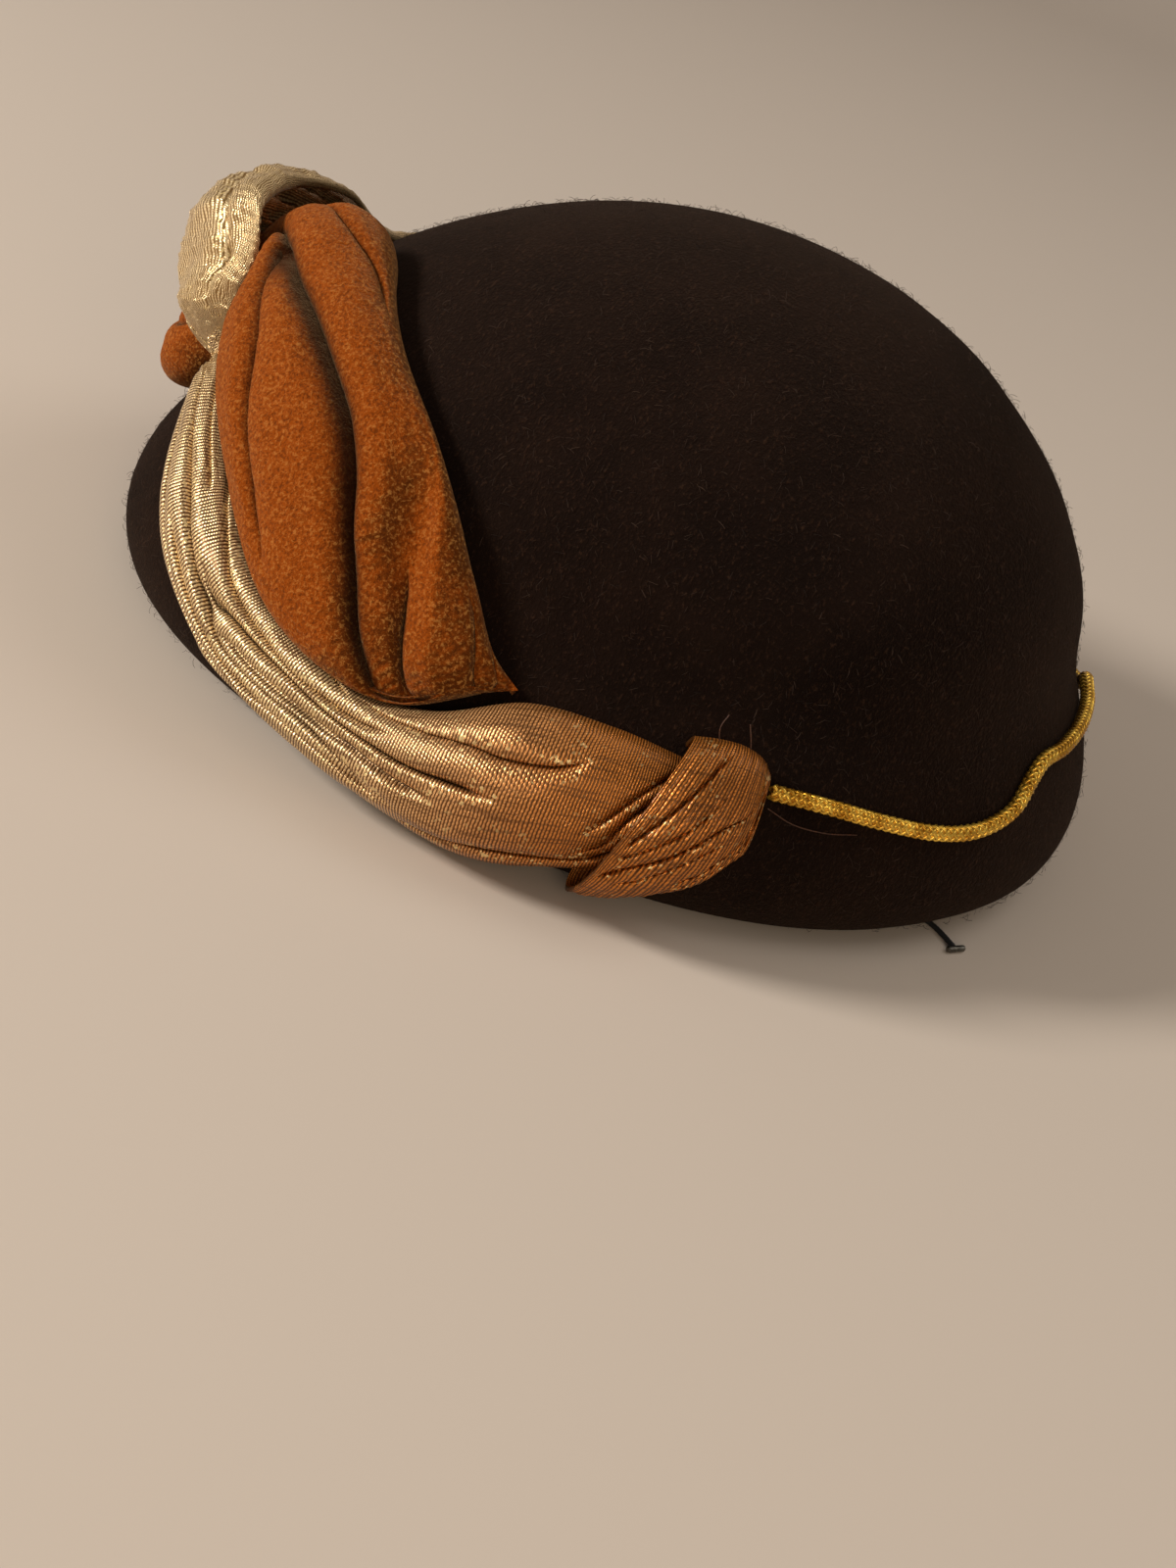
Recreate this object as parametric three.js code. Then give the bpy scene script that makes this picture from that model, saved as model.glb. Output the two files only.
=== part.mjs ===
import * as THREE from 'three';
import { mergeVertices } from 'three/addons/utils/BufferGeometryUtils.js';

// A domed felt hat with a sash of gold cloth and a sash of velvet twisted once at the front.
// Millimetres, +Z up, the wearer's left is +X and the face looks along -Y.
// A bearing is in degrees round the crown: 0 at the front, 90 at the wearer's left, 180 at the back.
// A height is measured up from the surface that the hat rests on.

// Felt cap
const felt = {
  length: 240,           // outside, front to back, at the widest level
  width: 212,            // outside, side to side, at the widest level
  wall: 2.5,
  widestHeight: 15.5,    // the level where the rolled edge meets the dome
  domeRise: 99,          // from the widest level to the top
  domePower: 1.6,        // 2 would be a plain ellipse
  planPower: 2.15,       // the oval seen from above
  planEgg: 0.06,         // the head oval is broader towards the back
  lean: 11,              // how far the top sits behind the middle
  breakDepth: 5,         // shallow waist where the crown was blocked
  breakHeight: 30,       // above the widest level
  breakSpread: 16,
  rollInset: 14.5,       // the edge is rolled under by this much
  rollPower: 2.3,
  curlRadius: 4,         // the raw edge turns up inside
  curlHeight: 9.5,
  rimWave: 1,            // the edge rests on three low lobes and lifts this much between them
  rimLobes: 3,
  firstLobe: 122,        // bearing of one of the lobes
  footPress: 0.8,        // felt pressed flat where a lobe rests
  notchBearing: 157,     // the edge lifts a little more where the elastic comes out
  notchRise: 1.4,
  notchSpread: 13,
};
const feltSegments = 44;
const domeSteps = 11;
const rollSteps = 5;
const curlSteps = 3;

// Cloth and trim
const goldThickness = 1.3;
const velvetThickness = 1.8;
const clothGap = 0.45;       // between a sewn edge and the felt under it
const rollSweep = 115;       // half the arc of a sash's section, in degrees
const foldFade = 0.08;       // the folds fade over this share of a sash at each end
const braidDiameter = 3.8;
const elasticDiameter = 1.3;
const barLength = 5;         // metal bar on the end of the elastic
const barDiameter = 1.5;
const barRounding = 0.45;
const touchGap = 0.3;

const radians = THREE.MathUtils.degToRad;
const lerp = THREE.MathUtils.lerp;
const clamp = THREE.MathUtils.clamp;

function ovalRadius(bearing) {
  const forward = Math.cos(radians(bearing));
  const side = Math.sin(radians(bearing));
  const sum = Math.abs(2 * forward / felt.length) ** felt.planPower
    + Math.abs(2 * side / felt.width) ** felt.planPower;
  const egg = felt.planEgg * forward * side * side;
  return sum ** (-1 / felt.planPower) * (1 + egg);
}

function crownPoint(bearing, radius, height) {
  const up = clamp((height - felt.widestHeight) / felt.domeRise, 0, 1);
  const a = radians(bearing);
  return new THREE.Vector3(Math.sin(a) * radius, -Math.cos(a) * radius + felt.lean * up * up, height);
}

function breakInset(height) {
  const away = (height - felt.widestHeight - felt.breakHeight) / felt.breakSpread;
  return felt.breakDepth * Math.exp(-away * away);
}

// Radius of the outer face at a height: the dome above the widest level, the roll below it.
function feltRadius(bearing, height) {
  const oval = ovalRadius(bearing);
  if (height >= felt.widestHeight) {
    const rise = clamp((height - felt.widestHeight) / felt.domeRise, 0, 1);
    const climb = Math.asin(rise ** (felt.domePower / 2));
    return oval * Math.cos(climb) - breakInset(height);
  }
  const drop = clamp(1 - height / felt.widestHeight, 0, 1);
  const turn = Math.asin(drop ** (felt.rollPower / 2));
  const inset = felt.rollInset * (1 - Math.cos(turn) ** (2 / felt.rollPower));
  return oval - breakInset(felt.widestHeight) - inset;
}

function feltPoint(bearing, height) {
  return crownPoint(bearing, feltRadius(bearing, height), height);
}

function feltNormal(bearing, height) {
  const low = Math.max(height - 0.4, 0.2);
  const along = feltPoint(bearing + 0.4, height).sub(feltPoint(bearing - 0.4, height));
  const up = feltPoint(bearing, height + 0.4).sub(feltPoint(bearing, low));
  return along.cross(up).normalize();
}

// How far the rim is lifted off the surface at a bearing; below zero it is pressed flat.
function rimLift(bearing) {
  const lobe = 0.5 - 0.5 * Math.cos(radians(felt.rimLobes * (bearing - felt.firstLobe)));
  const away = (bearing - felt.notchBearing) / felt.notchSpread;
  return felt.rimWave * lobe + felt.notchRise * Math.exp(-away * away) - felt.footPress * (1 - lobe);
}

// The section of the felt at one bearing, from below the top, down, round the roll and up inside.
function feltSection(bearing) {
  const points = [];
  for (let i = 1; i <= domeSteps; i++) {
    const climb = radians(90 * (1 - i / domeSteps));
    const height = felt.widestHeight + felt.domeRise * Math.sin(climb) ** (2 / felt.domePower);
    points.push([feltRadius(bearing, height), height]);
  }
  const oval = ovalRadius(bearing) - breakInset(felt.widestHeight);
  for (let i = 1; i <= rollSteps; i++) {
    const turn = radians(90 * i / rollSteps);
    const height = felt.widestHeight * (1 - Math.sin(turn) ** (2 / felt.rollPower));
    points.push([oval - felt.rollInset * (1 - Math.cos(turn) ** (2 / felt.rollPower)), height]);
  }
  const curlCentre = oval - felt.rollInset - 1.5;
  for (let i = 0; i <= curlSteps; i++) {
    const turn = radians(90 * i / curlSteps);
    const radius = curlCentre - felt.curlRadius * Math.sin(turn);
    points.push([radius, felt.curlRadius * (1 - Math.cos(turn))]);
  }
  points.push([curlCentre - felt.curlRadius + 0.4, felt.curlHeight]);
  return points;
}

// Moves a section by the wall's thickness, away from its outer side.
function insetSection(points) {
  return points.map((point, i) => {
    const before = points[Math.max(i - 1, 0)];
    const after = points[Math.min(i + 1, points.length - 1)];
    const run = i === 0 ? [point[0], 0] : [after[0] - before[0], after[1] - before[1]];
    const size = Math.hypot(run[0], run[1]);
    return [point[0] + felt.wall * run[1] / size, point[1] - felt.wall * run[0] / size];
  });
}

// A named mesh of a closed geometry, with its doubled points merged.
function closedMesh(name, geometry, material) {
  geometry.deleteAttribute('normal');
  geometry.deleteAttribute('uv');
  const merged = mergeVertices(geometry, 0.001);
  merged.computeVertexNormals();
  const mesh = new THREE.Mesh(merged, material);
  mesh.name = name;
  return mesh;
}

function solid(name, vertices, triangles, material) {
  const geometry = new THREE.BufferGeometry();
  geometry.setFromPoints(vertices);
  geometry.setIndex(triangles);
  return closedMesh(name, geometry, material);
}

function feltCap(material) {
  const vertices = [];
  const triangles = [];
  const rows = [];
  const top = felt.widestHeight + felt.domeRise;
  vertices.push(crownPoint(0, 0, top), crownPoint(0, 0, top - felt.wall));
  for (let i = 0; i < feltSegments; i++) {
    const bearing = 360 * i / feltSegments;
    const lift = rimLift(bearing);
    const outer = feltSection(bearing);
    const loop = outer.concat(insetSection(outer).reverse());
    rows.push(loop.map(([radius, height]) => {
      const share = clamp(1 - height / felt.widestHeight, 0, 1);
      vertices.push(crownPoint(bearing, radius, Math.max(height + lift * share, 0)));
      return vertices.length - 1;
    }));
  }
  for (let i = 0; i < feltSegments; i++) {
    const here = rows[i];
    const next = rows[(i + 1) % feltSegments];
    const last = here.length - 1;
    triangles.push(0, here[0], next[0], 1, next[last], here[last]);
    for (let k = 0; k < last; k++) {
      triangles.push(here[k], here[k + 1], next[k + 1], here[k], next[k + 1], next[k]);
    }
  }
  return solid('felt_cap', vertices, triangles, material);
}

// Value of a table's column between its rows, on a smooth curve through them.
function column(rows, name, along) {
  const place = clamp(along, 0, 1) * (rows.length - 1);
  const i = Math.min(Math.floor(place), rows.length - 2);
  const part = place - i;
  const at = (k) => rows[clamp(k, 0, rows.length - 1)][name];
  const [a, b, c, d] = [at(i - 1), at(i), at(i + 1), at(i + 2)];
  const slopeIn = (c - a) / 2;
  const slopeOut = (d - b) / 2;
  const two = part * part;
  const three = two * part;
  return b * (2 * three - 3 * two + 1) + slopeIn * (three - 2 * two + part)
    + c * (3 * two - 2 * three) + slopeOut * (three - two);
}

// A sash is a full roll: its section is an arc that bulges past the edges where it is sewn down.
function rollSection(across) {
  const angle = radians(rollSweep * (2 * across - 1));
  const foot = Math.cos(radians(rollSweep));
  return { side: 0.5 + 0.5 * Math.sin(angle), rise: (Math.cos(angle) - foot) / (1 - foot) };
}

// How far a strip stands off the felt: its lifted edges, its swell, its folds and its pleats.
function standOff(strip, along, across) {
  const row = (name) => column(strip.rows, name, along);
  const { side, rise } = rollSection(across);
  const lifted = lerp(row('lowLift'), row('highLift'), side);
  const ending = Math.min(1, along / foldFade, (1 - along) / foldFade);
  let swell = row('swell') * rise;
  for (const fold of strip.folds) {
    const middle = along < fold.turn
      ? lerp(fold.head, fold.waist, along / fold.turn)
      : lerp(fold.waist, fold.tail, (along - fold.turn) / (1 - fold.turn));
    const away = (across - middle) / fold.spread;
    swell -= fold.depth * row('swell') * ending * rise * Math.exp(-away * away);
  }
  const crest = Math.abs(Math.sin(Math.PI * (strip.pleats * across + 0.5)));
  const pleat = strip.pleatDepth * Math.min(1, row('swell') / 6) * (crest - 1);
  const nearEdge = Math.min(1, 3.5 * rise);
  const leastSwell = (strip.thickness + touchGap) * nearEdge;
  return clothGap + lifted + strip.raise * nearEdge + Math.max(swell + pleat * rise, leastSwell);
}

function stripPoint(strip, along, across) {
  const row = (name) => column(strip.rows, name, along);
  const { side } = rollSection(across);
  const bearing = strip.side * lerp(row('lowBearing'), row('highBearing'), side);
  const height = lerp(row('lowHeight'), row('highHeight'), side);
  const base = feltPoint(bearing, height);
  const point = base.addScaledVector(feltNormal(bearing, height), standOff(strip, along, across));
  point.z = Math.max(point.z, strip.thickness + touchGap);
  return point;
}

// A strip of cloth as a thin closed wall: an outer face, an inner face and four narrow edges.
function clothStrip(strip, material) {
  const vertices = [];
  const triangles = [];
  const outer = [];
  const inner = [];
  for (let i = 0; i <= strip.steps; i++) {
    outer.push([]);
    inner.push([]);
    for (let k = 0; k <= strip.samples; k++) {
      const along = i / strip.steps;
      const across = k / strip.samples;
      const point = stripPoint(strip, along, across);
      const ahead = stripPoint(strip, Math.min(along + 0.004, 1), across);
      const behind = stripPoint(strip, Math.max(along - 0.004, 0), across);
      const above = stripPoint(strip, along, Math.min(across + 0.02, 1));
      const below = stripPoint(strip, along, Math.max(across - 0.02, 0));
      const normal = ahead.sub(behind).cross(above.sub(below)).normalize();
      const inside = point.clone().addScaledVector(normal, -strip.facing * strip.thickness);
      inside.z = Math.max(inside.z, touchGap);
      outer[i].push(vertices.push(point) - 1);
      inner[i].push(vertices.push(inside) - 1);
    }
  }
  const quad = (a, b, c, d) => {
    const corners = strip.facing > 0 ? [a, b, c, a, c, d] : [a, c, b, a, d, c];
    triangles.push(...corners);
  };
  for (let i = 0; i < strip.steps; i++) {
    for (let k = 0; k < strip.samples; k++) {
      quad(outer[i][k], outer[i + 1][k], outer[i + 1][k + 1], outer[i][k + 1]);
      quad(inner[i][k], inner[i][k + 1], inner[i + 1][k + 1], inner[i + 1][k]);
    }
    quad(outer[i][0], inner[i][0], inner[i + 1][0], outer[i + 1][0]);
    const m = strip.samples;
    quad(outer[i][m], outer[i + 1][m], inner[i + 1][m], inner[i][m]);
  }
  const n = strip.steps;
  for (let k = 0; k < strip.samples; k++) {
    quad(outer[0][k], outer[0][k + 1], inner[0][k + 1], inner[0][k]);
    quad(outer[n][k], inner[n][k], inner[n][k + 1], outer[n][k + 1]);
  }
  return solid(strip.name, vertices, triangles, material);
}

const rowNames = ['lowBearing', 'lowHeight', 'highBearing', 'highHeight', 'lowLift', 'highLift', 'swell'];

function table(rows) {
  return rows.map((row) => Object.fromEntries(rowNames.map((name, i) => [name, row[i]])));
}

// Gold sash, from its left end round the front to its right end. Columns: bearing and height of the
// lower edge, bearing and height of the upper edge, lift of each edge off the felt, and swell.
const goldRows = table([
  [121, 20, 122, 34, 0, 0, 3],
  [114, 14, 115, 35.5, 0, 0, 8.5],
  [106, 9.5, 107, 36.5, 0, 0, 11.5],
  [97, 5.5, 97, 35, 0, 0, 13],
  [88, 6.5, 88, 27.5, 0, 0, 12],
  [78, 8.5, 80, 25, 0, 0, 10],
  [69, 10.5, 71, 27.5, 0, 0, 9],
  [60, 15, 63, 31.5, 0, 0, 9.5],
  [50, 23, 54, 38, 0, 0, 10],
  [40, 32.5, 44, 45, 0, 0, 9.5],
  [29.5, 41.5, 32.5, 53, 0.6, 0, 8],
  [22, 46, 25, 54, 0.9, 1, 5],
  [18, 44, 27, 60, 6, 7.5, 11],
  [13.5, 46, 26.5, 68.5, 16, 14.8, 6.5],
  [6, 49, 22.5, 72, 20, 21.5, 8.5],
  [-4, 50, 14, 74.5, 22, 20, 8.5],
  [-14, 51, 3, 76, 14, 12, 5.5],
  [-26, 48, -13, 70.5, 2, 0.3, 7],
  [-40, 47, -42, 67, 0, 0.4, 9],
  [-54, 43, -60, 70, 0, 0.3, 11],
  [-66, 36, -73, 65, 0, 0, 11],
  [-76, 31, -84, 54, 0, 0, 9],
  [-85, 29.5, -92, 42, 0, 0, 6],
  [-93, 35, -98, 38.5, 0, 0, 2],
]);

// Velvet sash, from its left end over the crown to its right end, with the same columns.
const velvetRows = table([
  [91, 33, 95, 36.3, 0.6, 0, 2],
  [84.5, 26, 90, 41, 2.5, 0, 8],
  [77, 25, 84, 51.5, 4.5, 0, 11],
  [67, 28.5, 77, 62.5, 4.5, 0, 13],
  [56, 37, 68, 71, 3.5, 0, 14],
  [45, 46.3, 56, 77.5, 2, 0, 15.5],
  [35.5, 56.3, 42.5, 82.8, 0.5, 0, 18],
  [29, 64, 30.5, 85.5, 0, 0, 19.5],
  [22.5, 66, 21, 83.5, 0, 0, 18.5],
  [17, 51, 10, 73, 0, 0, 14.5],
  [13.5, 31, 3, 64, 0, 0, 17],
  [4, 26, -6, 55, 0, 0, 18],
  [-11, 27, -15, 47, 0, 0, 14],
  [-24, 30, -26, 46, 0, 0, 10],
  [-36, 32, -38, 45, 0, 0, 8],
  [-48, 26, -51, 41, 0, 0, 7],
  [-60, 15, -63, 32, 0, 0, 7],
  [-69, 10, -71, 27.5, 0, 0, 8],
  [-78, 8.5, -80, 27.5, 0, 0, 10],
  [-88, 6.5, -88, 30, 0, 0, 12],
  [-97, 5.5, -97, 35.5, 0, 0, 13],
  [-106, 10, -107, 36.5, 0, 0, 11],
  [-114, 15, -115, 35, 0, 0, 8],
  [-121, 20, -122, 33, 0, 0, 3],
]);

// Folds of a sash: where across it a valley lies at the start, at the turn and at the end.
// Depth is a share of the swell, and below zero it is a ridge.
const goldFolds = [
  { head: 0.4, waist: 0.5, turn: 0.55, tail: 0.4, spread: 0.08, depth: 0.25 },
];
const velvetFolds = [
  { head: 0.2, waist: 0.54, turn: 0.16, tail: 0.48, spread: 0.07, depth: 0.55 },
  { head: 0.42, waist: 0.7, turn: 0.2, tail: 0.7, spread: 0.07, depth: 0.2 },
  { head: 0.75, waist: 0.64, turn: 0.3, tail: 0.62, spread: 0.1, depth: -0.25 },
];

// The wraps that close each sash end, drawn for the left side; side mirrors them.
const wrapRows = table([
  [108, 7, 116, 39.5, 0, 0, 13.3],
  [111, 7.5, 119, 40.3, 0, 0, 13],
  [116, 10, 122, 40.3, 0, 0, 11],
  [121, 14.5, 124.5, 39, 0, 0, 8],
  [125, 21.5, 126, 36.5, 0, 0, 3],
]);

// The braid leaves the left wrap, hangs in a swag, is tacked, crosses the back and mirrors.
const braidHalf = [
  { bearing: 127.6, height: 33.5 },
  { bearing: 133, height: 33 },
  { bearing: 140, height: 31.5 },
  { bearing: 147, height: 30 },
  { bearing: 153, height: 30 },
  { bearing: 159, height: 32.5 },
  { bearing: 163, height: 37 },
  { bearing: 166, height: 39.5 },
  { bearing: 172, height: 39.5 },
];

function cloth(color, roughness, metalness) {
  return new THREE.MeshStandardMaterial({ color, roughness, metalness });
}

const brownFelt = cloth('#20120c', 0.95, 0);
const goldCloth = cloth('#a9783a', 0.42, 0.7);
const rustVelvet = cloth('#a4501a', 0.85, 0);
const goldBraid = cloth('#c7992b', 0.35, 0.8);
const blackElastic = cloth('#0c0c0e', 0.7, 0);
const darkMetal = cloth('#3a3833', 0.4, 0.9);

function roundShape(diameter, sides) {
  const corners = [];
  for (let i = 0; i < sides; i++) {
    const angle = 2 * Math.PI * i / sides;
    corners.push(new THREE.Vector2(Math.cos(angle), Math.sin(angle)).multiplyScalar(diameter / 2));
  }
  return new THREE.Shape(corners);
}

function tube(name, points, diameter, sides, steps, material) {
  const path = new THREE.CatmullRomCurve3(points, false, 'centripetal');
  const options = { steps, bevelEnabled: false, extrudePath: path };
  return closedMesh(name, new THREE.ExtrudeGeometry(roundShape(diameter, sides), options), material);
}

function braidCord(material) {
  const otherHalf = braidHalf.map(({ bearing, height }) => ({ bearing: 360 - bearing, height })).reverse();
  const off = braidDiameter / 2 + touchGap;
  const middle = { bearing: 180, height: 39.5 };
  const points = [...braidHalf, middle, ...otherHalf].map(({ bearing, height }) => (
    feltPoint(bearing, height).addScaledVector(feltNormal(bearing, height), off)
  ));
  return tube('braid_cord', points, braidDiameter, 8, 72, material);
}

// The free end of the black elastic: sewn inside the rim, down to the surface and out behind.
const elasticRoute = [
  [58.5, 70.5, 7], [56.5, 72.3, 5], [54.3, 74.6, 2.6], [51.8, 77.5, 1.1], [48.9, 80.9, 0.65],
  [46, 84.2, 0.65], [43.6, 87.8, 0.65], [42.2, 91.6, 0.65], [41.9, 95.4, 0.65], [42.5, 99.2, 0.65],
  [43.9, 102.8, 0.65], [45.9, 105.8, 0.65], [48.2, 108.6, 0.65],
].map((place) => new THREE.Vector3(...place));

// The bar is a short rod with rounded ends, lying across the end of the elastic.
function elasticTip(material) {
  const options = {
    steps: 1,
    depth: barLength - 2 * barRounding,
    bevelThickness: barRounding,
    bevelSize: barRounding,
    bevelSegments: 2,
  };
  const geometry = new THREE.ExtrudeGeometry(roundShape(barDiameter - 2 * barRounding, 10), options);
  geometry.translate(0, 0, barRounding - barLength / 2);
  geometry.rotateX(Math.PI / 2);
  const end = elasticRoute[elasticRoute.length - 1];
  const way = end.clone().sub(elasticRoute[elasticRoute.length - 2]).setZ(0).normalize();
  geometry.rotateZ(Math.atan2(way.y, way.x));
  const bar = closedMesh('elastic_tip', geometry, material);
  bar.position.copy(end).addScaledVector(way, barDiameter / 2 + touchGap).setZ(barDiameter / 2);
  return bar;
}

const parts = new THREE.Group();
parts.add(feltCap(brownFelt));
parts.add(clothStrip({
  name: 'gold_sash', rows: goldRows, folds: goldFolds, pleats: 6, pleatDepth: 2.2,
  thickness: goldThickness, raise: 0, side: 1, facing: -1, steps: 46, samples: 12,
}, goldCloth));
parts.add(clothStrip({
  name: 'velvet_sash', rows: velvetRows, folds: velvetFolds, pleats: 1, pleatDepth: 0,
  thickness: velvetThickness, raise: 0, side: 1, facing: -1, steps: 46, samples: 14,
}, rustVelvet));
parts.add(clothStrip({
  name: 'gold_end_wrap', rows: wrapRows, folds: [], pleats: 5, pleatDepth: 1,
  thickness: goldThickness, raise: 1, side: 1, facing: 1, steps: 8, samples: 10,
}, goldCloth));
parts.add(clothStrip({
  name: 'velvet_end_wrap', rows: wrapRows, folds: [], pleats: 3, pleatDepth: 1,
  thickness: velvetThickness, raise: 1.6, side: -1, facing: -1, steps: 8, samples: 10,
}, rustVelvet));
parts.add(braidCord(goldBraid));

// The origin is at the middle of the hat's box, on the surface; the loose elastic isn't counted.
const hat = new THREE.Group();
const box = new THREE.Box3().setFromObject(parts);
parts.add(tube('elastic_cord', elasticRoute, elasticDiameter, 8, 26, blackElastic));
parts.add(elasticTip(darkMetal));
parts.position.set(-(box.min.x + box.max.x) / 2, -(box.min.y + box.max.y) / 2, 0);
hat.add(parts);

export default hat;
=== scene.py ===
# Domed felt hat with a twisted sash of gold cloth and velvet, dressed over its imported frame.
# Sizes are millimetres until a mesh is made. Bearings are degrees round the crown: 0 is the front,
# 90 the wearer's left and 180 the back. Heights are measured up from the surface it rests on.
import math

import bpy
import numpy as np
from mathutils import Matrix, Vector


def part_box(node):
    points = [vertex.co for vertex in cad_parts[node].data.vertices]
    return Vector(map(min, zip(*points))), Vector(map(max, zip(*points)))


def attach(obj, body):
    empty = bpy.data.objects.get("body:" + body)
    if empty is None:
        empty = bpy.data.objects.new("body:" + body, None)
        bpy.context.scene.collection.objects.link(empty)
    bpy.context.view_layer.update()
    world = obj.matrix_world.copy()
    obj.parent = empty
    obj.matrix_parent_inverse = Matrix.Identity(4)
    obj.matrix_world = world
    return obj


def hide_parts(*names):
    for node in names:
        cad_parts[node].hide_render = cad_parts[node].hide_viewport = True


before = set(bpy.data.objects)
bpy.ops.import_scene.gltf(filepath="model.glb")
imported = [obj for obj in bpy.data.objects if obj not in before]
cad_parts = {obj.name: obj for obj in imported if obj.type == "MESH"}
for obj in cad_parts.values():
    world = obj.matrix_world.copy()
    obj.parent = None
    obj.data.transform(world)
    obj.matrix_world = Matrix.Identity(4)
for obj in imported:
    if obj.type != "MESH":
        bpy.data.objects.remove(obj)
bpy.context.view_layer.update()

feltLow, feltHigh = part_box("felt_cap")
middle = np.array([(feltLow[0] + feltHigh[0]) * 500, (feltLow[1] + feltHigh[1]) * 500, 0])


def toMetres(points):
    return (np.asarray(points, float) + middle) / 1000


# Camera at the photograph's angle

view = {
    "turn": 103,             # degrees round from the front, towards the wearer's left
    "climb": 21.635,
    "roll": 20.079,
    "yaw": -1.891,
    "pitch": -7.49,
    "away": 539.454,
    "aim": (0, 0, 50),
    "lens": 51.75,
}


def swing(first, second, degrees):
    a = math.radians(degrees)
    return math.cos(a) * first + math.sin(a) * second, math.cos(a) * second - math.sin(a) * first


def addCamera():
    turn = math.radians(view["turn"])
    climb = math.radians(view["climb"])
    back = np.array([math.sin(turn) * math.cos(climb), -math.cos(turn) * math.cos(climb), math.sin(climb)])
    place = np.array(view["aim"], float) + view["away"] * back
    ahead = -back
    right = np.cross(ahead, (0, 0, 1))
    right /= np.linalg.norm(right)
    up = np.cross(right, ahead)
    right, up = swing(right, up, view["roll"])
    ahead, right = swing(ahead, right, view["yaw"])
    ahead, up = swing(ahead, up, view["pitch"])
    data = bpy.data.cameras.new("camera")
    data.lens = view["lens"]
    data.sensor_width = 36
    data.clip_start = 0.02
    data.clip_end = 20
    camera = bpy.data.objects.new("camera", data)
    bpy.context.scene.collection.objects.link(camera)
    turned = Matrix(np.stack([right, up, -ahead], 1).tolist()).to_4x4()
    camera.matrix_world = Matrix.Translation(toMetres(place).tolist()) @ turned
    bpy.context.scene.camera = camera


addCamera()
print("camera placed")

# Shader helpers


class Shader:
    def __init__(self, name):
        self.material = bpy.data.materials.new(name)
        self.material.use_nodes = True
        self.tree = self.material.node_tree
        self.skin = self.tree.nodes["Principled BSDF"]
        self.coords = self.tree.nodes.new("ShaderNodeTexCoord")

    def put(self, socket, value):
        if isinstance(value, bpy.types.NodeSocket):
            self.tree.links.new(value, socket)
        else:
            socket.default_value = value

    def math(self, operation, *values, clamp=False):
        node = self.tree.nodes.new("ShaderNodeMath")
        node.operation = operation
        node.use_clamp = clamp
        for socket, value in zip(node.inputs, values):
            self.put(socket, value)
        return node.outputs[0]

    def stretch(self, source, scale, turn=(0, 0, 0)):
        node = self.tree.nodes.new("ShaderNodeMapping")
        self.put(node.inputs["Vector"], source)
        node.inputs["Scale"].default_value = scale
        node.inputs["Rotation"].default_value = turn
        return node.outputs[0]

    def noise(self, source, scale, detail=3, roughness=0.55, distortion=0):
        node = self.tree.nodes.new("ShaderNodeTexNoise")
        self.put(node.inputs["Vector"], source)
        node.inputs["Scale"].default_value = scale
        node.inputs["Detail"].default_value = detail
        node.inputs["Roughness"].default_value = roughness
        node.inputs["Distortion"].default_value = distortion
        return node.outputs["Fac"]

    def cells(self, source, scale, output="Color"):
        node = self.tree.nodes.new("ShaderNodeTexVoronoi")
        self.put(node.inputs["Vector"], source)
        node.inputs["Scale"].default_value = scale
        return node.outputs[output]

    def ramp(self, value, low, high):
        node = self.tree.nodes.new("ShaderNodeMapRange")
        node.interpolation_type = "SMOOTHSTEP"
        self.put(node.inputs["Value"], value)
        node.inputs["From Min"].default_value = low
        node.inputs["From Max"].default_value = high
        return node.outputs["Result"]

    def blend(self, amount, first, second):
        node = self.tree.nodes.new("ShaderNodeMix")
        node.data_type = "RGBA"
        self.put(node.inputs[0], amount)
        for socket, value in ((node.inputs[6], first), (node.inputs[7], second)):
            self.put(socket, value if isinstance(value, bpy.types.NodeSocket) else (*value, 1))
        return node.outputs[2]

    def attribute(self, name):
        node = self.tree.nodes.new("ShaderNodeAttribute")
        node.attribute_name = name
        return node.outputs["Fac"]

    def split(self, source):
        node = self.tree.nodes.new("ShaderNodeSeparateXYZ")
        self.put(node.inputs[0], source)
        return node.outputs

    def bump(self, height, distance, strength=1.0):
        node = self.tree.nodes.new("ShaderNodeBump")
        node.inputs["Strength"].default_value = strength
        node.inputs["Distance"].default_value = distance
        self.put(node.inputs["Height"], height)
        self.put(self.skin.inputs["Normal"], node.outputs[0])

    def set(self, **values):
        for name, value in values.items():
            self.put(self.skin.inputs[name.replace("_", " ")], value)


def hex3(code):
    parts = [int(code[i:i + 2], 16) / 255 for i in (1, 3, 5)]
    return tuple(c / 12.92 if c <= 0.04045 else ((c + 0.055) / 1.055) ** 2.4 for c in parts)


def feltFinish():
    s = Shader("brownFelt")
    place = s.coords.outputs["Object"]
    cloud = s.noise(place, 38, 4)
    grain = s.noise(place, 1100, 4, 0.7)
    hairs = s.noise(s.stretch(place, (500, 1900, 900), (0.3, 0.5, 0.7)), 1, 3, 0.6, 0.8)
    shade = s.blend(s.ramp(cloud, 0.3, 0.75), hex3("#100704"), hex3("#1b0f09"))
    fleck = s.ramp(s.math("MULTIPLY", grain, hairs), 0.25, 0.5)
    s.set(Base_Color=s.blend(fleck, shade, hex3("#38251a")), Roughness=0.95)
    s.set(Sheen_Weight=0.07, Sheen_Roughness=0.5, Sheen_Tint=(0.6, 0.38, 0.26, 1), Specular_IOR_Level=0.06)
    s.bump(s.math("ADD", grain, s.math("MULTIPLY", hairs, 0.9)), 0.0007, 0.9)
    return s.material


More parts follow.
